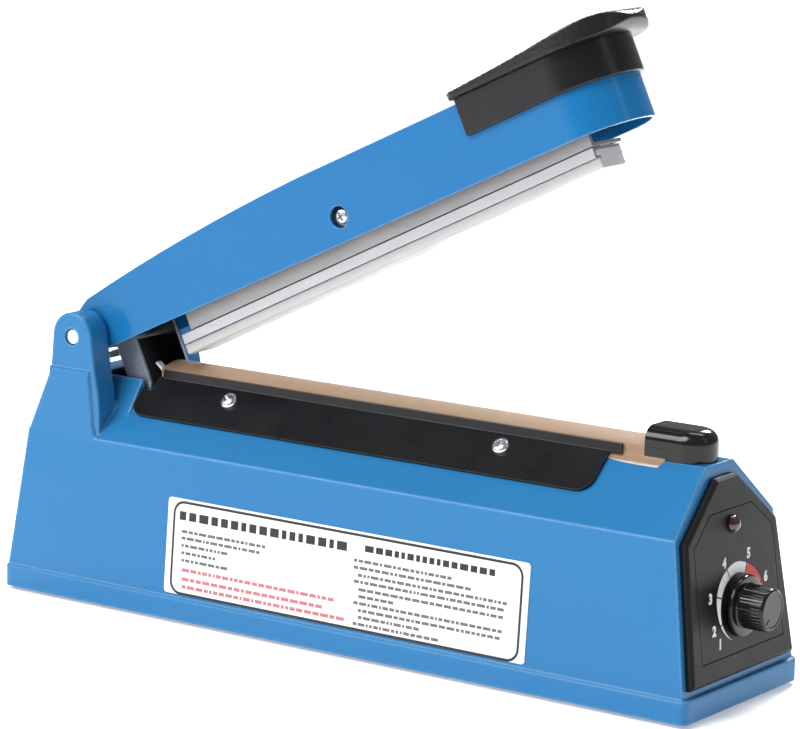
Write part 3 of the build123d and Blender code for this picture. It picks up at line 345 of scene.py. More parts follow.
# ---- sealing rail, glass tape and heating ribbon ----
# An extruded aluminium rail is insulated with glass tape. The nickel-chrome ribbon lies along its
# crown between a brass clamp in front and a white tab at the rear.
brushed, given, put = new_group(
    "drawn_metal", "ShaderNodeTree",
    [("Along", VECTOR, (1.0, 0.0, 0.0)), ("Lines", FLOAT, 4000.0), ("Length", FLOAT, 60.0)],
    [("Mask", FLOAT)])
place = object_place(brushed)
run = stretched(brushed, given["Along"], vectors(brushed, "DOT_PRODUCT", place, given["Along"], "Value"))
across = vectors(brushed, "SUBTRACT", place, run)
fine = stretched(brushed, across, given["Lines"])
long = stretched(brushed, run, given["Length"])
lines = noise(brushed, vectors(brushed, "ADD", fine, long), 1.0, 3.0)
brushed.links.new(lines, put["Mask"])


def add_draw_lines(material, along, depth, low, high):
    """Lays the lines of drawn or rolled metal over a finish: they vary its gloss and its relief."""
    tree = material.node_tree
    shader = tree.nodes["Principled BSDF"]
    mask = use_group(tree, brushed, {"Along": along}).outputs["Mask"]
    before = shader.inputs["Normal"].links[0].from_socket
    fill(tree, shader, {"Roughness": ranged(tree, mask, 0.3, 0.7, low, high),
                        "Normal": relief(tree, mask, depth, Normal=before)})


rail_metal = new_finish(
    "rail_metal", (0.62, 0.63, 0.65), (0.68, 0.69, 0.70), (0.85, 0.86, 0.87), (0.3, 0.4), Metallic=1.0)
add_draw_lines(rail_metal, (1.0, 0.0, 0.0), 0.00001, 0.28, 0.5)
glass_tape = new_finish(
    "glass_tape", (0.72, 0.70, 0.62), (0.66, 0.63, 0.54), (0.8, 0.78, 0.7), (0.5, 0.65),
    grain=2200.0, ripple_share=0.1, bump=0.00005)
ribbon_metal = new_finish(
    "ribbon_metal", (0.42, 0.40, 0.38), (0.34, 0.30, 0.27), (0.6, 0.58, 0.55), (0.25, 0.4), Metallic=1.0)
tab_enamel = new_finish(
    "tab_enamel", (0.80, 0.80, 0.78), (0.74, 0.74, 0.72), (0.88, 0.88, 0.87), (0.35, 0.5))
clamp_brass = new_finish(
    "clamp_brass", (0.66, 0.46, 0.16), (0.58, 0.38, 0.12), (0.85, 0.68, 0.35), (0.25, 0.4), Metallic=1.0)
clothe(rail_metal, "sealing_rail")
clothe(glass_tape, "insulating_tape")
clothe(ribbon_metal, "heating_element")
clothe(tab_enamel, "element_tab")
clothe(clamp_brass, "element_clamp")

# ---- woven non-stick cloth ----
# A tan strip of coated glass cloth is stretched over the ribbon and tucked under the retaining
# plates. Its cut edges fray into short pale threads along the roof's slope.
CLOTH_REAR, CLOTH_FRONT = -105.9 * MM, 120.0 * MM
CLOTH_HALF, CLOTH_CROWN, CLOTH_RISE = 9.05 * MM, 91.46 * MM, 2.1 * MM
CLOTH_THICK = 0.16 * MM
DECK_HALF, DECK_Z, ROOF_TILT = 9.35 * MM, 85.5 * MM, math.radians(41.43)
RIBBON_HALF = 2.0 * MM
CLOTH_STEPS, SKIRT_STEPS, WALL_STEPS, CROWN_STEPS = 250, 6, 6, 14
# the skirt's reach down the slope, its belly near the free end, and the slanted cut of that end
SKIRT_REACH, SKIRT_BELLY, BELLY_FROM, BELLY_RUN = 3.3 * MM, 1.15 * MM, 108.0 * MM, 12.0 * MM
CUT_REACH, CUT_LOSS, CUT_FROM = 3.1 * MM, 2.7 * MM, 118.5 * MM
SKIRT_LIFT, WALL_GAP, DECK_GAP, RIBBON_LIFT = 0.12 * MM, 0.1 * MM, 0.3 * MM, 0.04 * MM


def skirt_width(x):
    """How far the cloth reaches down the roof's slope: a bellied free end cut at a slant."""
    if x > CUT_FROM:
        return CUT_REACH - CUT_LOSS * (x - CUT_FROM) / (CLOTH_FRONT - CUT_FROM)
    return SKIRT_REACH - SKIRT_BELLY * max(0.0, min(1.0, (BELLY_FROM - x) / BELLY_RUN)) ** 2


def cloth_section(x):
    """Points across the cloth at x, from the near edge up over the rail to the middle."""
    points = []
    for step in range(SKIRT_STEPS + 1):
        down = skirt_width(x) * (1 - step / SKIRT_STEPS)
        points.append((-DECK_HALF - down * math.cos(ROOF_TILT) - SKIRT_LIFT * math.sin(ROOF_TILT),
                       DECK_Z - down * math.sin(ROOF_TILT) + SKIRT_LIFT * math.cos(ROOF_TILT)))
    foot, shoulder = DECK_Z + DECK_GAP, CLOTH_CROWN - CLOTH_RISE
    for step in range(1, WALL_STEPS + 1):
        climb = step / WALL_STEPS
        points.append((-CLOTH_HALF - WALL_GAP * (1 - climb), foot + (shoulder - foot) * climb))
    for step in range(1, CROWN_STEPS + 1):
        y = -CLOTH_HALF * (1 - step / CROWN_STEPS)
        bulge = CLOTH_RISE * (1 - (y / CLOTH_HALF) ** 2)
        points.append((y, shoulder + bulge + (RIBBON_LIFT if abs(y) < RIBBON_HALF * 1.05 else 0)))
    return points


cloth_mesh = bmesh.new()
weave_map = cloth_mesh.loops.layers.uv.new("weave")
rows = []
for step in range(CLOTH_STEPS + 1):
    x = CLOTH_REAR + (CLOTH_FRONT - CLOTH_REAR) * step / CLOTH_STEPS
    half = cloth_section(x)
    section = half + [(-y, z) for y, z in reversed(half[:-1])]
    row, across = [], 0.0
    for number, (y, z) in enumerate(section):
        if number:
            across += math.dist(section[number - 1], (y, z))
        sag = 0.05 * MM * math.sin(x * 900 + y * 300) * math.sin(x * 310 - y * 220)
        row.append((cloth_mesh.verts.new((x, y, z + sag)), across))
    middle = row[len(row) // 2][1]
    rows.append([(vert, x, spread - middle) for vert, spread in row])
for near_row, far_row in zip(rows, rows[1:]):
    for a, b, c, d in zip(near_row, far_row, far_row[1:], near_row[1:]):
        face = cloth_mesh.faces.new((a[0], b[0], c[0], d[0]))
        face.smooth = True
        for loop, corner in zip(face.loops, (a, b, c, d)):
            loop[weave_map].uv = (corner[1] / MM, corner[2] / MM)
flat_area = sum(face.calc_area() for face in cloth_mesh.faces)


def mesh_from(shape, name, face_out=True):
    """Turns a finished bmesh into a mesh, with its faces turned outward unless they are so already."""
    if face_out:
        bmesh.ops.recalc_face_normals(shape, faces=shape.faces)
    data = bpy.data.meshes.new(name)
    shape.to_mesh(data)
    shape.free()
    return data


def evaluated(piece):
    """The plain mesh that a piece makes with its modifiers, or from its letters."""
    graph = bpy.context.evaluated_depsgraph_get()
    return bpy.data.meshes.new_from_object(piece.evaluated_get(graph), depsgraph=graph)


def settle(piece):
    """Applies a piece's modifiers, so that a plain mesh is left."""
    shape = evaluated(piece)
    piece.modifiers.clear()
    piece.data = shape


cloth_data = mesh_from(cloth_mesh, "sealing_cloth")
sealing_cloth = link("sealing_cloth", cloth_data)
if cloth_data.polygons[len(cloth_data.polygons) // 2].normal.z < 0:
    cloth_data.flip_normals()
thickness = sealing_cloth.modifiers.new("thickness", "SOLIDIFY")
thickness.thickness = CLOTH_THICK
thickness.offset = -1
settle(sealing_cloth)

THREADS_PER_MM, THREAD_SLANT = 1.45, math.radians(52)
woven, tree, shader = new_material("coated_weave")
lay = node(tree, "ShaderNodeUVMap", uv_map="weave").outputs["UV"]
slant = node(tree, "ShaderNodeMapping", {"Vector": lay, "Rotation": (0, 0, THREAD_SLANT)})
split = node(tree, "ShaderNodeSeparateXYZ", {"Vector": slant.outputs["Vector"]})
warps = [maths(tree, "SINE", maths(tree, "MULTIPLY", split.outputs[axis], THREADS_PER_MM * math.tau))
         for axis in ("X", "Y")]
raised = ranged(tree, maths(tree, "MULTIPLY", *warps), -1.0, 1.0)
tan = mixed(tree, noise(tree, lay, 0.9, 6.0), rgb(0.40, 0.24, 0.125), rgb(0.56, 0.38, 0.23))
threaded = mixed(tree, raised, rgb(0.13, 0.07, 0.035), tan)
# the frayed edge is paler, and the ribbon's heat has browned the middle; both are in mm off the middle
off_middle = maths(tree, "ABSOLUTE", node(tree, "ShaderNodeSeparateXYZ", {"Vector": lay}).outputs["Y"])
paled = mixed(tree, ranged(tree, off_middle, 15.4, 16.3, 0.0, 0.85), threaded, rgb(0.80, 0.72, 0.62))
marked = mixed(tree, ranged(tree, off_middle, 2.6, 1.6, 0.0, 0.14), paled, rgb(0.30, 0.17, 0.09))
fill(tree, shader, {
    "Base Color": marked, "Roughness": ranged(tree, raised, 0.0, 1.0, 0.55, 0.36), "Sheen Weight": 0.15,
    "Normal": relief(tree, raised, 0.00009)})
wear(sealing_cloth.data, woven)

# one tree stands copies of a blank on marked points, each facing its own way: threads, screws and ribs
OBJECT, MATERIAL, INTEGER = "NodeSocketObject", "NodeSocketMaterial", "NodeSocketInt"
standing, given, put = new_group(
    "stand_blanks", "GeometryNodeTree",
    [("Points", "NodeSocketGeometry", None), ("Blank", OBJECT, None), ("Finish", MATERIAL, None),
     ("Smallest", FLOAT, 1.0), ("Lean", FLOAT, 0.0), ("Spin", FLOAT, 0.0), ("Seed", INTEGER, 1)],
    [("Pieces", "NodeSocketGeometry")])
facing = node(standing, "GeometryNodeInputNamedAttribute", {"Name": "facing"}, data_type="FLOAT_VECTOR")
stray = node(standing, "FunctionNodeRandomValue", {
    0: (-1.0, -1.0, -1.0), 1: (1.0, 1.0, 1.0), "Seed": given["Seed"]}, data_type="FLOAT_VECTOR")
leant = stretched(standing, stray.outputs[0], given["Lean"])
aimed = vectors(standing, "ADD", facing.outputs["Attribute"], leant)
aligned = node(standing, "FunctionNodeAlignRotationToVector", {"Vector": aimed}, axis="Z")
spun = node(standing, "FunctionNodeRandomValue", {3: given["Spin"], "Seed": given["Seed"]})
about = node(standing, "FunctionNodeAxisAngleToRotation", {"Axis": (0.0, 0.0, 1.0), "Angle": spun.outputs[1]})
turned = node(standing, "FunctionNodeRotateRotation", {
    "Rotation": aligned.outputs[0], "Rotate By": about.outputs[0]}, rotation_space="LOCAL")
sized = node(standing, "FunctionNodeRandomValue", {2: given["Smallest"], 3: 1.0, "Seed": given["Seed"]})
blank = node(standing, "GeometryNodeObjectInfo", {"Object": given["Blank"]})
copies = node(standing, "GeometryNodeInstanceOnPoints", {
    "Points": given["Points"], "Instance": blank.outputs["Geometry"],
    "Rotation": turned.outputs[0], "Scale": sized.outputs[1]})


def end_tree(tree, geometry, put):
    """Ends a tree: what it makes becomes plain geometry in one material."""
    real = node(tree, "GeometryNodeRealizeInstances", {"Geometry": geometry})
    finish = tree.nodes["Group Input"].outputs["Finish"]
    coated = node(tree, "GeometryNodeSetMaterial", {"Geometry": real.outputs[0], "Material": finish})
    tree.links.new(coated.outputs[0], put)


end_tree(standing, copies.outputs[0], put["Pieces"])


def run_tree(name, data, tree, values):
    """Runs a Geometry Nodes tree on a mesh, keeps a plain mesh piece, and uses up the tree's blank."""
    carrier = link(name + "_points", data)
    modifier = carrier.modifiers.new("tree", "NODES")
    modifier.node_group = tree
    for item in tree.interface.items_tree:
        if item.item_type == "SOCKET" and item.in_out == "INPUT" and item.name in values:
            modifier[item.identifier] = values[item.name]
    shape = evaluated(carrier)
    carrier.modifiers.remove(modifier)
    bpy.data.objects.remove(carrier)
    if "Blank" in values:
        bpy.data.objects.remove(values["Blank"])
    return link(name, shape)


def marked_points(name, spots):
    """Loose points, each with the direction that its copy faces."""
    data = bpy.data.meshes.new(name)
    data.from_pydata([spot for spot, _ in spots], [], [])
    ways = data.attributes.new("facing", "FLOAT_VECTOR", "POINT")
    for number, (_, way) in enumerate(spots):
        ways.data[number].vector = way
    return data


def smooth(data, sharp_over=35.0):
    """Smooth shading that keeps edges sharper than an angle."""
    data.shade_smooth()
    data.set_sharp_from_angle(angle=math.radians(sharp_over))


def lathed(name, profile, sides=48):
    """A blank turned about Z from (radius, height) points, closed at both ends."""
    shape = bmesh.new()
    rings = []
    for radius, level in profile:
        turns = [math.tau * k / sides for k in range(sides if radius else 1)]
        rings.append([shape.verts.new((radius * math.cos(turn), radius * math.sin(turn), level))
                      for turn in turns])
    for low, high in zip(rings, rings[1:]):
        for k in range(sides):
            corners = [low[k % len(low)], low[(k + 1) % len(low)],
                       high[(k + 1) % len(high)], high[k % len(high)]]
            corners = list(dict.fromkeys(corners))
            if len(corners) > 2:
                shape.faces.new(corners)
    for ring in (rings[0], rings[-1]):
        if len(ring) > 2:
            shape.faces.new(ring)
    data = mesh_from(shape, name)
    smooth(data)
    return data


THREAD_RADIUS, THREAD_LENGTH, THREAD_PITCH = 0.07 * MM, 0.75 * MM, 0.42 * MM
THREAD_START, THREAD_STOP, THREAD_HIDDEN = 0.4 * MM, 1.5 * MM, 0.45 * MM
thread_blank = link("thread_blank", lathed("thread", [
    (0, -0.3 * MM), (THREAD_RADIUS, -0.25 * MM), (THREAD_RADIUS * 0.8, THREAD_LENGTH * 0.6),
    (0, THREAD_LENGTH)], 5))
cloth_length = CLOTH_FRONT - CLOTH_REAR
loose_ends = []
for number in range(int((cloth_length - THREAD_STOP) / THREAD_PITCH)):
    x = CLOTH_REAR + THREAD_START + number * THREAD_PITCH
    y, z = cloth_section(x)[0]
    for side in (1, -1):
        down = Vector((0, side * -math.cos(ROOF_TILT), -math.sin(ROOF_TILT)))
        loose_ends.append((Vector((x, side * y, z)) - down * THREAD_HIDDEN, down))
pale_thread = new_finish(
    "pale_thread", (0.78, 0.68, 0.56), (0.70, 0.57, 0.42), (0.85, 0.78, 0.68), (0.5, 0.7),
    grain=3000.0, bump=0.00002)
cloth_fray = run_tree("cloth_fray", marked_points("loose_ends", loose_ends), standing, {
    "Blank": thread_blank, "Finish": pale_thread, "Smallest": 0.45, "Lean": 0.28, "Spin": math.tau,
    "Seed": 7})
for piece in (sealing_cloth, cloth_fray):
    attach(piece, "base")
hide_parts("ptfe_cloth")

# ---- retaining plates and their screws ----
# Two bent steel sheets, sprayed satin black, clamp the cloth to the roof. Each is held by two
# zinc-plated pan-head screws with a cross recess.
black_spray = new_finish(
    "black_spray", (0.004, 0.004, 0.005), (0.006, 0.006, 0.007), (0.16, 0.16, 0.165), (0.26, 0.34),
    patches=40.0, reach=0.00035, edge_amount=0.55, grain=1900.0, ripple=420.0, bump=0.00003,
    Specular_IOR_Level=0.3)
clothe(black_spray, "retaining_plate_near", "retaining_plate_far")


def screw_blank(name, head, rise, shank, length):
    """A pan-head screw seated at z 0: a turned head with a tapered cross driven into it."""
    crown = ((1, 0.16), (0.96, 0.42), (0.84, 0.70), (0.64, 0.89), (0.36, 0.98))
    body = link(name, lathed(name, [
        (0, -length), (shank * 0.5, -length), (shank, -length + shank), (shank, -0.05 * MM), (head * 0.97, 0),
        *[(head * out, rise * up) for out, up in crown], (0, rise)], 56))
    cutter = bmesh.new()
    for turn in (0, math.pi / 2):
        for vert in bmesh.ops.create_cube(cutter, size=1.0)["verts"]:
            long, wide, level = (0.60, 0.13, 1.3) if vert.co.z > 0 else (0.26, 0.075, 0.22)
            vert.co = Matrix.Rotation(turn, 3, "Z") @ Vector((
                math.copysign(head * long, vert.co.x), math.copysign(head * wide, vert.co.y), rise * level))
    cross = link("cross", mesh_from(cutter, "cross", face_out=False))
    cut = body.modifiers.new("recess", "BOOLEAN")
    cut.operation, cut.object, cut.solver, cut.use_self = "DIFFERENCE", cross, "EXACT", True
    settle(body)
    bpy.data.objects.remove(cross)
    smooth(body.data, 28.0)
    return body


PLATE_LIFT, PLATE_SHEET = 0.32 * MM, 1.0 * MM
SCREW_RUN, SCREW_DROP = (-68.7 * MM, 54.6 * MM), 6.0 * MM
plate_blank = screw_blank("plate_screw_blank", 3.5 * MM, 2.0 * MM, 1.5 * MM, 7.0 * MM)
seats = []
for side in (-1, 1):
    out = Vector((0, side * math.sin(ROOF_TILT), math.cos(ROOF_TILT)))
    down = Vector((0, side * math.cos(ROOF_TILT), -math.sin(ROOF_TILT)))
    for x in SCREW_RUN:
        edge_point = Vector((x, side * DECK_HALF, DECK_Z))
        seats.append((edge_point + down * SCREW_DROP + out * (PLATE_LIFT + PLATE_SHEET), out))
plate_screws = run_tree("plate_screws", marked_points("plate_seats", seats), standing, {
    "Blank": plate_blank, "Finish": bright_screw, "Spin": 1.4, "Seed": 4})
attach(plate_screws, "base")
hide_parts("plate_screw_near_1", "plate_screw_near_2", "plate_screw_far_1",
            "plate_screw_far_2")

# ---- terminal cap ----
# A glossy black moulded hood with a rounded front covers the live end of the ribbon. It is pushed
# onto the rail from the front.
gloss_black = new_finish(
    "gloss_black", (0.005, 0.005, 0.0055), (0.007, 0.007, 0.0075), (0.05, 0.05, 0.052), (0.11, 0.16),
    patches=60.0, reach=0.0005, edge_amount=0.3, ripple=300.0, ripple_share=0.9, bump=0.000005,
    Specular_IOR_Level=0.42)
clothe(gloss_black, "terminal_cap")

# ---- control panel and its print ----
# A satin black moulded plate with a bevelled edge and a scored outline. The dial's ring and numbers
# are screen printed round the timer's shaft, white to 5 and red from there on.
panel_black = new_finish(
    "panel_black", (0.005, 0.005, 0.0055), (0.007, 0.007, 0.0075), (0.07, 0.067, 0.064), (0.34, 0.44),
    patches=70.0, reach=0.0005, edge_amount=0.6, grain=2400.0, ripple_share=0.25, bump=0.00003,
    Specular_IOR_Level=0.22)
clothe(panel_black, "control_panel")
PANEL_LEAN, PANEL_THICK = math.radians(8.0), 3.0 * MM
PANEL_FOOT = Vector((147.0 * MM, 0, 10.0 * MM))
SHAFT_HEIGHT = 26.44 * MM


def standing_on(foot, across, up, out, thickness):
    """A frame on a leaning face: x across it, y up it and z out of it, from its foot."""
    foot = foot + out * thickness
    return Matrix((*[(across[k], up[k], out[k], foot[k]) for k in range(3)], (0, 0, 0, 1)))


on_panel = standing_on(
    PANEL_FOOT, Vector((0, 1, 0)), Vector((-math.sin(PANEL_LEAN), 0, math.cos(PANEL_LEAN))),
    Vector((math.cos(PANEL_LEAN), 0, math.sin(PANEL_LEAN))), PANEL_THICK)


def join_rings(shape, first, second):
    """A band of faces between two rings of points."""
    for k in range(len(first)):
        following = (k + 1) % len(first)
        shape.faces.new((first[k], first[following], second[following], second[k]))


def slab(shape, outline, low, high):
    """A thin closed prism between two heights over a flat outline."""
    lower = [shape.verts.new((x, y, low)) for x, y in outline]
    upper = [shape.verts.new((x, y, high)) for x, y in outline]
    shape.faces.new(upper)
    shape.faces.new(lower[::-1])
    join_rings(shape, lower, upper)


def printed(name, shape, place, finish):
    """Closes a print's mesh, puts it on its surface and gives it its ink."""
    data = mesh_from(shape, name)
    data.transform(place)
    wear(data, finish)
    return link(name, data)


INK_LOW, INK_HIGH = -0.02 * MM, 0.035 * MM
# angle round the shaft, the ring's outer radius and its width: at its start, at each number from 2 to
# 6, and where it ends under the knob
RING = ((239.0, 13.35, 0.05), (201.0, 14.45, 1.1), (160.0, 15.25, 3.3), (114.7, 14.65, 3.75),
        (61.0, 15.2, 3.95), (18.0, 17.2, 4.6), (-2.0, 17.4, 4.7))
RING_GAP, RING_STEPS, WHITE_SPANS = 1.1, 18, 4


def ring_at(angle):
    """The ring's outer and inner radius at an angle, smoothed between the numbers."""
    for (a0, r0, w0), (a1, r1, w1) in zip(RING, RING[1:]):
        if a1 <= angle <= a0:
            t = (a0 - angle) / (a0 - a1)
            return (r0 + (r1 - r0) * t) * MM, (r0 - w0 + (r1 - w1 - r0 + w0) * t) * MM
    return None


white_ink = new_finish(
    "white_ink", (0.80, 0.80, 0.79), (0.74, 0.74, 0.73), (0.85, 0.85, 0.85), (0.45, 0.6),
    grain=3000.0, ripple_share=0.1, bump=0.00002)
red_ink = new_finish(
    "red_ink", (0.66, 0.035, 0.03), (0.58, 0.03, 0.026), (0.75, 0.1, 0.09), (0.42, 0.55),
    grain=3000.0, ripple_share=0.1, bump=0.00002)
rings = {"white": bmesh.new(), "red": bmesh.new()}
for number, ((start, _, _), (end, _, _)) in enumerate(zip(RING, RING[1:])):
    first = start - (RING_GAP if number else 0)
    last = end + (RING_GAP if number < len(RING) - 2 else 0)
    edges = [], []
    for step in range(RING_STEPS + 1):
        angle = first + (last - first) * step / RING_STEPS
        way = Vector((math.cos(math.radians(angle)), math.sin(math.radians(angle))))
        for edge_points, radius in zip(edges, ring_at(angle)):
            edge_points.append(tuple(way * radius + Vector((0, SHAFT_HEIGHT))))
    slab(rings["white" if number < WHITE_SPANS else "red"], edges[0] + edges[1][::-1], INK_LOW, INK_HIGH)
dial_pieces = [printed("dial_white", rings["white"], on_panel, white_ink),
               printed("dial_red", rings["red"], on_panel, red_ink)]
# a capital stands 0.73 of the letters' size, and the letters are fattened and thickened a little
NUMBER_SIZE, NUMBER_FAT, NUMBER_THICK, NUMBER_SLANT = 3.5 * MM / 0.73, 0.24 * MM, 0.03 * MM, 0.18
NUMBER_PLACES = ((-14.8, 15.2), (-18.0, 20.8), (-18.6, 31.9), (-7.2, 42.2), (9.1, 42.4), (19.4, 32.5))
for number, (across, up) in enumerate(NUMBER_PLACES, start=1):
    letters = bpy.data.curves.new(f"number_{number}", "FONT")
    letters.body = str(number)
    letters.size, letters.shear, letters.resolution_u = NUMBER_SIZE, NUMBER_SLANT, 5
    letters.offset, letters.extrude = NUMBER_FAT, NUMBER_THICK
    written = link(f"number_{number}", letters)
    shape = evaluated(written)
    bpy.data.objects.remove(written)
    middle = sum((Vector(v.co) for v in shape.vertices), Vector()) / len(shape.vertices)
    shape.transform(on_panel @ Matrix.Translation((across * MM - middle.x, up * MM - middle.y, 0.01 * MM)))
    wear(shape, white_ink)
    dial_pieces.append(link(f"dial_number_{number}", shape))
for piece in dial_pieces:
    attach(piece, "base")

# ---- indicator lens ----
# A dark red moulded dome covers the lamp, so that it looks nearly black while it is off. It is
# clipped into the panel from the front.
lens_red = new_finish(
    "lens_red", (0.030, 0.002, 0.004), (0.045, 0.003, 0.005), (0.12, 0.01, 0.012), (0.05, 0.08),
    patches=300.0, reach=0.0003, edge_amount=0.2, bump=0.000004, Coat_Weight=0.8, Coat_Roughness=0.03)
clothe(lens_red, "indicator_lens")

# ---- timer knob ----
# A glossy black phenolic knob, pressed on the timer's shaft: a round skirt, a barrel with fine
# upright ribs and a flat end with a moulded pointer notch.
KNOB_HEIGHT = 36.6 * MM
KNOB_BACK, KNOB_FLANGE, KNOB_TIP = 148.0, 149.7, 160.0
BARREL, RIB_RADIUS, RIBS = 7.6, 0.36, 38
NOTCH_ANGLE, NOTCH_OUT, NOTCH_IN, NOTCH_HALF = math.radians(232), 5.8, 3.6, 0.45


def in_metres(points):
    """Points in mm as points in metres."""
    return [tuple(value * MM for value in point) for point in points]


knob_body = link("knob_body", lathed("knob_body", in_metres([
    (3.1, KNOB_BACK + 9), (3.1, KNOB_BACK + 2.4), (6.2, KNOB_BACK + 2.4), (6.2, KNOB_BACK), (10.7, KNOB_BACK),
    (11.0, KNOB_BACK + 0.3), (11.0, KNOB_FLANGE - 0.7), (10.8, KNOB_FLANGE - 0.2), (10.3, KNOB_FLANGE),
    (8.3, KNOB_FLANGE), (7.8, KNOB_FLANGE + 0.35), (BARREL, KNOB_FLANGE + 0.9), (BARREL, KNOB_TIP - 1.3),
    (7.45, KNOB_TIP - 0.55), (6.9, KNOB_TIP), (6.3, KNOB_TIP), (6.05, KNOB_TIP - 0.22),
    (0, KNOB_TIP - 0.22)]), 96))
rib_blank = link("rib_blank", lathed("rib", in_metres([
    (0, KNOB_FLANGE + 0.2), (RIB_RADIUS, KNOB_FLANGE + 0.4), (RIB_RADIUS, KNOB_TIP - 1.5),
    (RIB_RADIUS * 0.7, KNOB_TIP - 0.95), (0, KNOB_TIP - 0.8)]), 10))
upright = Vector((0, 0, 1))
rib_places = [(Vector((math.cos(turn), math.sin(turn), 0)) * BARREL * MM, upright)
              for turn in (math.tau * k / RIBS for k in range(RIBS))]
knob_ribs = run_tree("knob_ribs", marked_points("rib_places", rib_places), standing, {
    "Blank": rib_blank, "Finish": gloss_black})
smooth(knob_ribs.data, 40.0)
notch = bmesh.new()
notch_way = Vector((math.cos(NOTCH_ANGLE), math.sin(NOTCH_ANGLE)))
notch_side = Vector((-notch_way.y, notch_way.x)) * NOTCH_HALF
slab(notch, in_metres([
    notch_way * NOTCH_OUT + notch_side, notch_way * NOTCH_IN + notch_side * 0.4,
    notch_way * NOTCH_IN - notch_side * 0.4, notch_way * NOTCH_OUT - notch_side]),
    (KNOB_TIP - 0.3) * MM, (KNOB_TIP - 0.02) * MM)
pointer = printed("knob_pointer", notch, Matrix.Identity(4), gloss_black)
# a quarter turn first, so that angles run from across the sealer towards up once the axis lies along x
on_shaft = Matrix.Translation((0, 0, KNOB_HEIGHT)) @ Matrix.Rotation(math.pi / 2, 4, "Y") @ Matrix.Rotation(
    math.pi / 2, 4, "Z")
for piece in (knob_body, knob_ribs, pointer):
    piece.data.transform(on_shaft)
    wear(piece.data, gloss_black)
    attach(piece, "timer_dial")
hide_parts("timer_knob")

# ---- side sticker ----
# A white paper label under clear film is glued to the near wall. Its print is a rounded black border
# and rows of plain bars: a heavy heading and short lines at the left, a heading and long lines at the right.
label_paper = new_finish(
    "label_paper", (0.86, 0.86, 0.86), (0.83, 0.83, 0.83), (0.9, 0.9, 0.9), (0.3, 0.42),
    patches=60.0, grain=1200.0, ripple_share=0.3, bump=0.00001)
clothe(label_paper, "label_sticker")
# the wall leans in from 37.8 at a height of 10 to 33.6 at 64.1, in mm
SIDE_LEAN, STICKER_THICK = math.atan2(37.8 - 33.6, 64.1 - 10.0), 0.25 * MM
SIDE_FOOT = Vector((0, -37.8 * MM, 10.0 * MM))
on_wall = standing_on(
    SIDE_FOOT, Vector((1, 0, 0)), Vector((0, math.sin(SIDE_LEAN), math.cos(SIDE_LEAN))),
    Vector((0, -math.cos(SIDE_LEAN), math.sin(SIDE_LEAN))), STICKER_THICK)
black_ink = new_finish(
    "black_ink", (0.012, 0.012, 0.013), (0.018, 0.018, 0.02), (0.05, 0.05, 0.05), (0.3, 0.42), bump=0.00001)
grey_ink = new_finish(
    "grey_ink", (0.10, 0.10, 0.105), (0.15, 0.15, 0.155), (0.2, 0.2, 0.2), (0.3, 0.42), bump=0.00001)
rose_ink = new_finish(
    "rose_ink", (0.48, 0.13, 0.15), (0.55, 0.20, 0.22), (0.6, 0.3, 0.3), (0.3, 0.42), bump=0.00001)


def rounded_box(left, low, right, high, radius, per_corner=8):
    """Outline of a rectangle with round corners, anticlockwise from the lower right."""
    points = []
    corners = ((right - radius, low + radius, -90), (right - radius, high - radius, 0),
               (left + radius, high - radius, 90), (left + radius, low + radius, 180))
    for x, y, start in corners:
        for k in range(per_corner + 1):
            angle = math.radians(start + 90 * k / per_corner)
            points.append((x + radius * math.cos(angle), y + radius * math.sin(angle)))
    return in_metres(points)


LABEL_INK = 0.02 * MM
border = bmesh.new()
outside = rounded_box(-78.4, 1.35, 79.4, 37.0, 5.0)
inside = rounded_box(-77.4, 2.35, 78.4, 36.0, 4.0)
for k in range(len(outside)):
    following = (k + 1) % len(outside)
    slab(border, [outside[k], outside[following], inside[following], inside[k]], -LABEL_INK, LABEL_INK)
bmesh.ops.remove_doubles(border, verts=border.verts, dist=1e-7)
print_pieces = [printed("sticker_border", border, on_wall, black_ink)]
# left end, right end, middle height and bar height of each row, with the widths that its words may have
HEADINGS = ((-75.4, 3.9, 31.4, 3.3, (1.9, 4.6)), (10.4, 67.3, 32.0, 2.4, (1.6, 4.0)))
LEFT_ROWS = ((-74.0, -34.6, 25.5), (-74.0, -36.6, 23.0), (-73.8, -50.8, 20.2), (-73.6, -57.5, 17.4),
             (-73.4, -51.5, 14.6))
ROSE_ROWS = ((-73.1, -1.3, 10.95), (-72.9, -7.2, 7.5), (-72.6, 4.0, 4.6))
RIGHT_ROWS = ((5.9, 49.2, 27.1), (5.9, 57.8, 24.55), (7.9, 73.8, 21.85), (6.3, 72.5, 19.4),
              (8.6, 71.9, 16.65), (8.8, 24.5, 14.1), (6.7, 71.8, 11.55), (8.9, 71.2, 9.0),
              (9.1, 37.4, 6.45), (7.0, 45.3, 3.9))
SHORTEST_REST, SHORTEST_GAP, GAP_SHARE = 1.0, 0.55, 0.42
chance = random.Random(11)


def print_rows(name, rows, ink):
    """Rows of word-long bars with plain gaps between them."""
    shape = bmesh.new()
    for left, right, level, tall, words in rows:
        x, low, high = left, level - tall / 2, level + tall / 2
        while x < right - SHORTEST_REST:
            word = min(chance.uniform(*words), right - x)
            corners = in_metres([(x, low), (x + word, low), (x + word, high), (x, high)])
            slab(shape, corners, -LABEL_INK, LABEL_INK)
            x += word + max(SHORTEST_GAP, tall * GAP_SHARE)
    print_pieces.append(printed(name, shape, on_wall, ink))


print_rows("sticker_headings", HEADINGS, black_ink)
print_rows("sticker_lines", [row + (1.15, (0.9, 3.6)) for row in LEFT_ROWS + RIGHT_ROWS], grey_ink)
print_rows("sticker_notes", [row + (1.35, (1.0, 3.8)) for row in ROSE_ROWS], rose_ink)
for piece in print_pieces:
    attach(piece, "base")

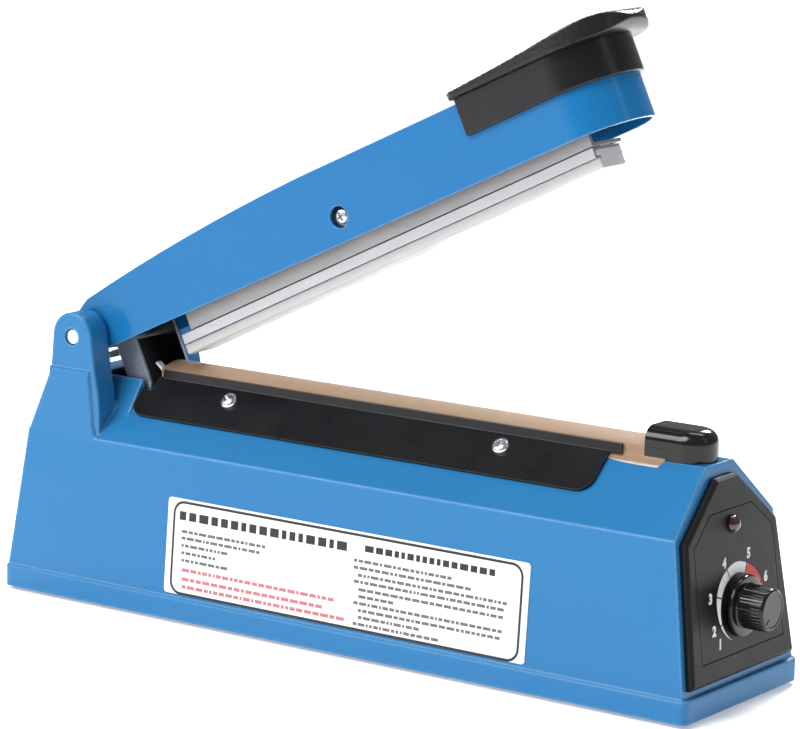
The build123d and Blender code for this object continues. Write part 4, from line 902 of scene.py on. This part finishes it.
# ---- hinge pin, sleeve and return spring ----
# A headless plated pin runs through both ears. A sleeve keeps the arm's cheeks apart on it, nylon
# washers keep paint off paint, and a coil spring behind the lever holds the arm open.
spring_wire = new_finish(
    "spring_wire", (0.36, 0.36, 0.37), (0.44, 0.44, 0.45), (0.6, 0.6, 0.6), (0.22, 0.35),
    patches=300.0, bump=0.00001, Metallic=1.0)
clothe(bright_screw, "hinge_pin")
clothe(zinc_plate, "hinge_sleeve")
return_coil = link("return_coil", cad["return_spring"].data.copy())
wear(return_coil.data, spring_wire)
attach(return_coil, "base")
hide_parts("return_spring")
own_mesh(return_coil)

# ---- arm ----
# A deep channel folded from steel sheet with a round nose, powder coated in the housing's blue.
# It turns on the pin and carries the press bar inside.
ARM_TILT = math.radians(25.4)
PIVOT = Vector((-131.6 * MM, 0, 101.8 * MM))


def tilted_place(origin, tilt):
    """A frame with x along a tilted part, y across the sealer and z off the part."""
    c, s = math.cos(tilt), math.sin(tilt)
    return Matrix(((c, 0, -s, origin.x), (0, 1, 0, origin.y), (s, 0, c, origin.z), (0, 0, 0, 1)))


in_arm = tilted_place(PIVOT, ARM_TILT)
# its light edge colour is a painted highlight where the sheet's edges, such as the arm's lower edge, catch
# the surroundings, and partly the thinner paint there
blue_powder = new_finish(
    "blue_powder", (0.008, 0.138, 0.350), (0.010, 0.148, 0.366), (0.30, 0.56, 0.85), (0.14, 0.18),
    reach=0.0007, edge_amount=0.8, ripple=380.0, ripple_share=0.85, bump=0.00001, Specular_IOR_Level=0.26)
clothe(blue_powder, "arm_shell")

# ---- lever and stop strap ----
# A galvanised channel is clamped to the pin between the arm's cheeks and reaches down through the housing's
# slot; its inside is coloured near black as painted shade and its edges carry a painted highlight. A black
# spring-steel strap is riveted behind its web.
# its light edge colour is a painted highlight along the channel's front edges
galvanised = new_finish(
    "galvanised", (0.40, 0.43, 0.46), (0.52, 0.55, 0.58), (0.85, 0.87, 0.9), (0.3, 0.48),
    patches=220.0, reach=0.0004, edge_amount=0.8, bump=0.00003, Metallic=0.85)
add_draw_lines(galvanised, (0.0, 0.0, 1.0), 0.000008, 0.28, 0.5)
# painted shade: what is nearer to the middle than the cheeks' inner faces is coloured near black, as the
# channel's shaded inside
SHADED_HALF = 11.7 * MM
tree = galvanised.node_tree
shader = tree.nodes["Principled BSDF"]
off_middle = maths(tree, "ABSOLUTE", node(
    tree, "ShaderNodeSeparateXYZ", {"Vector": object_place(tree)}).outputs["Y"])
beyond_shade = maths(tree, "GREATER_THAN", off_middle, SHADED_HALF)
plated = shader.inputs["Base Color"].links[0].from_socket
fill(tree, shader, {"Base Color": mixed(tree, beyond_shade, rgb(0.006, 0.006, 0.007), plated),
                    "Metallic": maths(tree, "MULTIPLY", beyond_shade, 0.85)})
strap_black = new_finish(
    "strap_black", (0.012, 0.012, 0.013), (0.02, 0.02, 0.021), (0.55, 0.55, 0.56), (0.25, 0.4),
    reach=0.0004, edge_amount=0.9)
clothe(galvanised, "lever_bracket")
clothe(strap_black, "stop_strap")

# ---- rocker hanger and cross screw ----
# A folded hanger is spot welded under the arm's roof. The cross screw through it is the axle that
# the press bar rocks on, and its head shows in the arm's near cheek.
ROCKER_U, ROCKER_V = 129.6 * MM, 1.5 * MM
rocker = in_arm @ Vector((ROCKER_U, 0, ROCKER_V))
HEAD_SEAT = Vector((0, -17.0 * MM, 0))
axle_blank = screw_blank("axle_blank", 3.3 * MM, 2.0 * MM, 2.0 * MM, 33.0 * MM)
rocker_screw = run_tree("rocker_screw_turned", marked_points("axle_seat", [
    (rocker + HEAD_SEAT, Vector((0, -1, 0)))]), standing, {
    "Blank": axle_blank, "Finish": bright_screw, "Spin": 0.8, "Seed": 3})
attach(rocker_screw, "arm")
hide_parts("rocker_screw")
clothe(zinc_plate, "rocker_hanger", "rocker_nut")

# ---- press bar ----
# A grey anodised carrier hangs on the cross screw. A bright rolled channel is spot welded under it
# and grips the ribs of the silicone strip.
BAR_TILT = math.radians(25.97)
in_bar = tilted_place(rocker, BAR_TILT)
bar_way = (math.cos(BAR_TILT), 0.0, math.sin(BAR_TILT))
carrier_grey = new_finish(
    "carrier_grey", (0.40, 0.385, 0.375), (0.46, 0.445, 0.435), (0.7, 0.69, 0.68), (0.34, 0.5),
    patches=50.0, reach=0.0003, edge_amount=0.6, Metallic=0.75)
add_draw_lines(carrier_grey, bar_way, 0.000008, 0.36, 0.55)
channel_bright = new_finish(
    "channel_bright", (0.48, 0.48, 0.50), (0.54, 0.54, 0.56), (0.95, 0.95, 0.96), (0.24, 0.38),
    patches=50.0, reach=0.0004, edge_amount=0.9, Metallic=0.85)
add_draw_lines(channel_bright, bar_way, 0.000006, 0.26, 0.42)
clothe(carrier_grey, "bar_carrier")
clothe(channel_bright, "bar_channel")

# ---- silicone strip ----
# Clear grey silicone extruded with two side grooves that the channel's lips hold. Both ends are
# cut square, so the grooves show there as notches.
STRIP_REAR, STRIP_FRONT, STRIP_STEPS = -98.3, 106.1, 68
STRIP_HALF = (
    (-6.7, -21.75), (-7.25, -21.62), (-7.55, -21.2), (-7.6, -20.6), (-7.6, -18.3), (-7.5, -17.95),
    (-7.2, -17.8), (-6.3, -17.8), (-6.05, -17.6), (-6.0, -17.3), (-6.05, -17.0), (-6.3, -16.85),
    (-7.3, -16.82), (-7.62, -16.6), (-7.7, -16.2), (-7.7, -15.3), (-7.6, -14.95), (-7.3, -14.85))
# the sealing face, below this level, waves a little along the strip
FACE_LEVEL, WAVE_HEIGHT, WAVES = -21.0, 0.04, 0.26
strip_outline = [*STRIP_HALF, *[(-y, v) for y, v in STRIP_HALF[::-1]]]
strip = bmesh.new()
sections = []
for step in range(STRIP_STEPS + 1):
    u = STRIP_REAR + (STRIP_FRONT - STRIP_REAR) * step / STRIP_STEPS
    wave = WAVE_HEIGHT * math.sin(u * WAVES)
    sections.append([strip.verts.new(Vector((u, y, v - (wave if v < FACE_LEVEL else 0))) * MM)
                     for y, v in strip_outline])
for rear, front in zip(sections, sections[1:]):
    join_rings(strip, rear, front)
strip.faces.new(sections[0])
strip.faces.new(sections[-1])
strip_data = mesh_from(strip, "seal_strip")
strip_data.transform(in_bar)
smooth(strip_data, 50.0)
seal_strip = link("seal_strip", strip_data)
clear_silicone = new_finish(
    "clear_silicone", (0.60, 0.60, 0.585), (0.66, 0.66, 0.65), (0.82, 0.82, 0.81), (0.42, 0.6),
    patches=120.0, reach=0.0004, edge_amount=0.5, grain=1800.0, ripple=500.0, bump=0.00004,
    Subsurface_Weight=0.35, Subsurface_Scale=0.002)
strip_data.materials.append(clear_silicone)
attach(seal_strip, "press_bar")
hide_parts("silicone_strip")

# ---- grip ----
# A satin black moulded cap follows the arm's round nose. It is pushed over the nose and holds the
# thumb pad.
grip_black = new_finish(
    "grip_black", (0.005, 0.005, 0.006), (0.008, 0.008, 0.009), (0.09, 0.09, 0.095), (0.22, 0.30),
    patches=45.0, reach=0.0006, edge_amount=0.5, grain=2200.0, ripple_share=0.4, bump=0.00001,
    Specular_IOR_Level=0.4)
clothe(grip_black, "grip_base")

# ---- thumb pad ----
# The tongue-shaped top of the grip is moulded with a pebbled skin on its top and rim, so that the
# hand doesn't slip. Its underside and lower lip stay smooth.
pebbled, given, put = new_group(
    "pebbled_skin", "GeometryNodeTree",
    [("Pad", "NodeSocketGeometry", None), ("Pebbles per Metre", FLOAT, 900.0), ("Relief", FLOAT, 0.0002),
     ("Up", VECTOR, (0.0, 0.0, 1.0)), ("Finish", MATERIAL, None)],
    [("Skin", "NodeSocketGeometry")])
spot = node(pebbled, "GeometryNodeInputPosition")
outward = node(pebbled, "GeometryNodeInputNormal")
cells = node(pebbled, "ShaderNodeTexVoronoi", {
    "Vector": spot.outputs[0], "Scale": given["Pebbles per Metre"], "Randomness": 0.85})
domed = ranged(pebbled, cells.outputs["Distance"], 0.15, 0.62, 1.0, 0.0)
rising = vectors(pebbled, "DOT_PRODUCT", outward.outputs[0], given["Up"], "Value")
lifted = maths(pebbled, "MULTIPLY", domed, ranged(pebbled, rising, -0.28, 0.05))
depth = maths(pebbled, "MULTIPLY", lifted, given["Relief"])
moved = node(pebbled, "GeometryNodeSetPosition", {
    "Geometry": given["Pad"], "Offset": stretched(pebbled, outward.outputs[0], depth)})
end_tree(pebbled, moved.outputs[0], put["Skin"])

PEBBLE_RELIEF, PEBBLES_PER_METRE, PAD_VOXEL = 0.16 * MM, 780.0, 0.42 * MM
blank = bmesh.new()
blank.from_mesh(cad["thumb_pad"].data)
bmesh.ops.remove_doubles(blank, verts=blank.verts, dist=1e-6)
for vert in blank.verts:
    vert.co -= vert.normal * PEBBLE_RELIEF
pad_blank = link("pad_blank", mesh_from(blank, "pad_blank", face_out=False))
even = pad_blank.modifiers.new("even", "REMESH")
even.mode, even.voxel_size, even.use_smooth_shade = "VOXEL", PAD_VOXEL, True
soften = pad_blank.modifiers.new("soften", "SMOOTH")
soften.factor, soften.iterations = 0.5, 5
settle(pad_blank)
pad_black = new_finish(
    "pad_black", (0.009, 0.009, 0.0095), (0.012, 0.012, 0.013), (0.08, 0.08, 0.082), (0.26, 0.36),
    patches=60.0, reach=0.0003, edge_amount=0.4, grain=2600.0, ripple_share=0.2, bump=0.00002,
    Specular_IOR_Level=0.38)
pad_up = in_arm.to_3x3() @ Vector((0, 0, 1))
pebbled_pad = run_tree("pebbled_pad", pad_blank.data, pebbled, {
    "Pebbles per Metre": PEBBLES_PER_METRE, "Relief": PEBBLE_RELIEF, "Up": tuple(pad_up),
    "Finish": pad_black})
bpy.data.objects.remove(pad_blank)
pebbled_pad.data.shade_smooth()
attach(pebbled_pad, "arm")
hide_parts("thumb_pad")
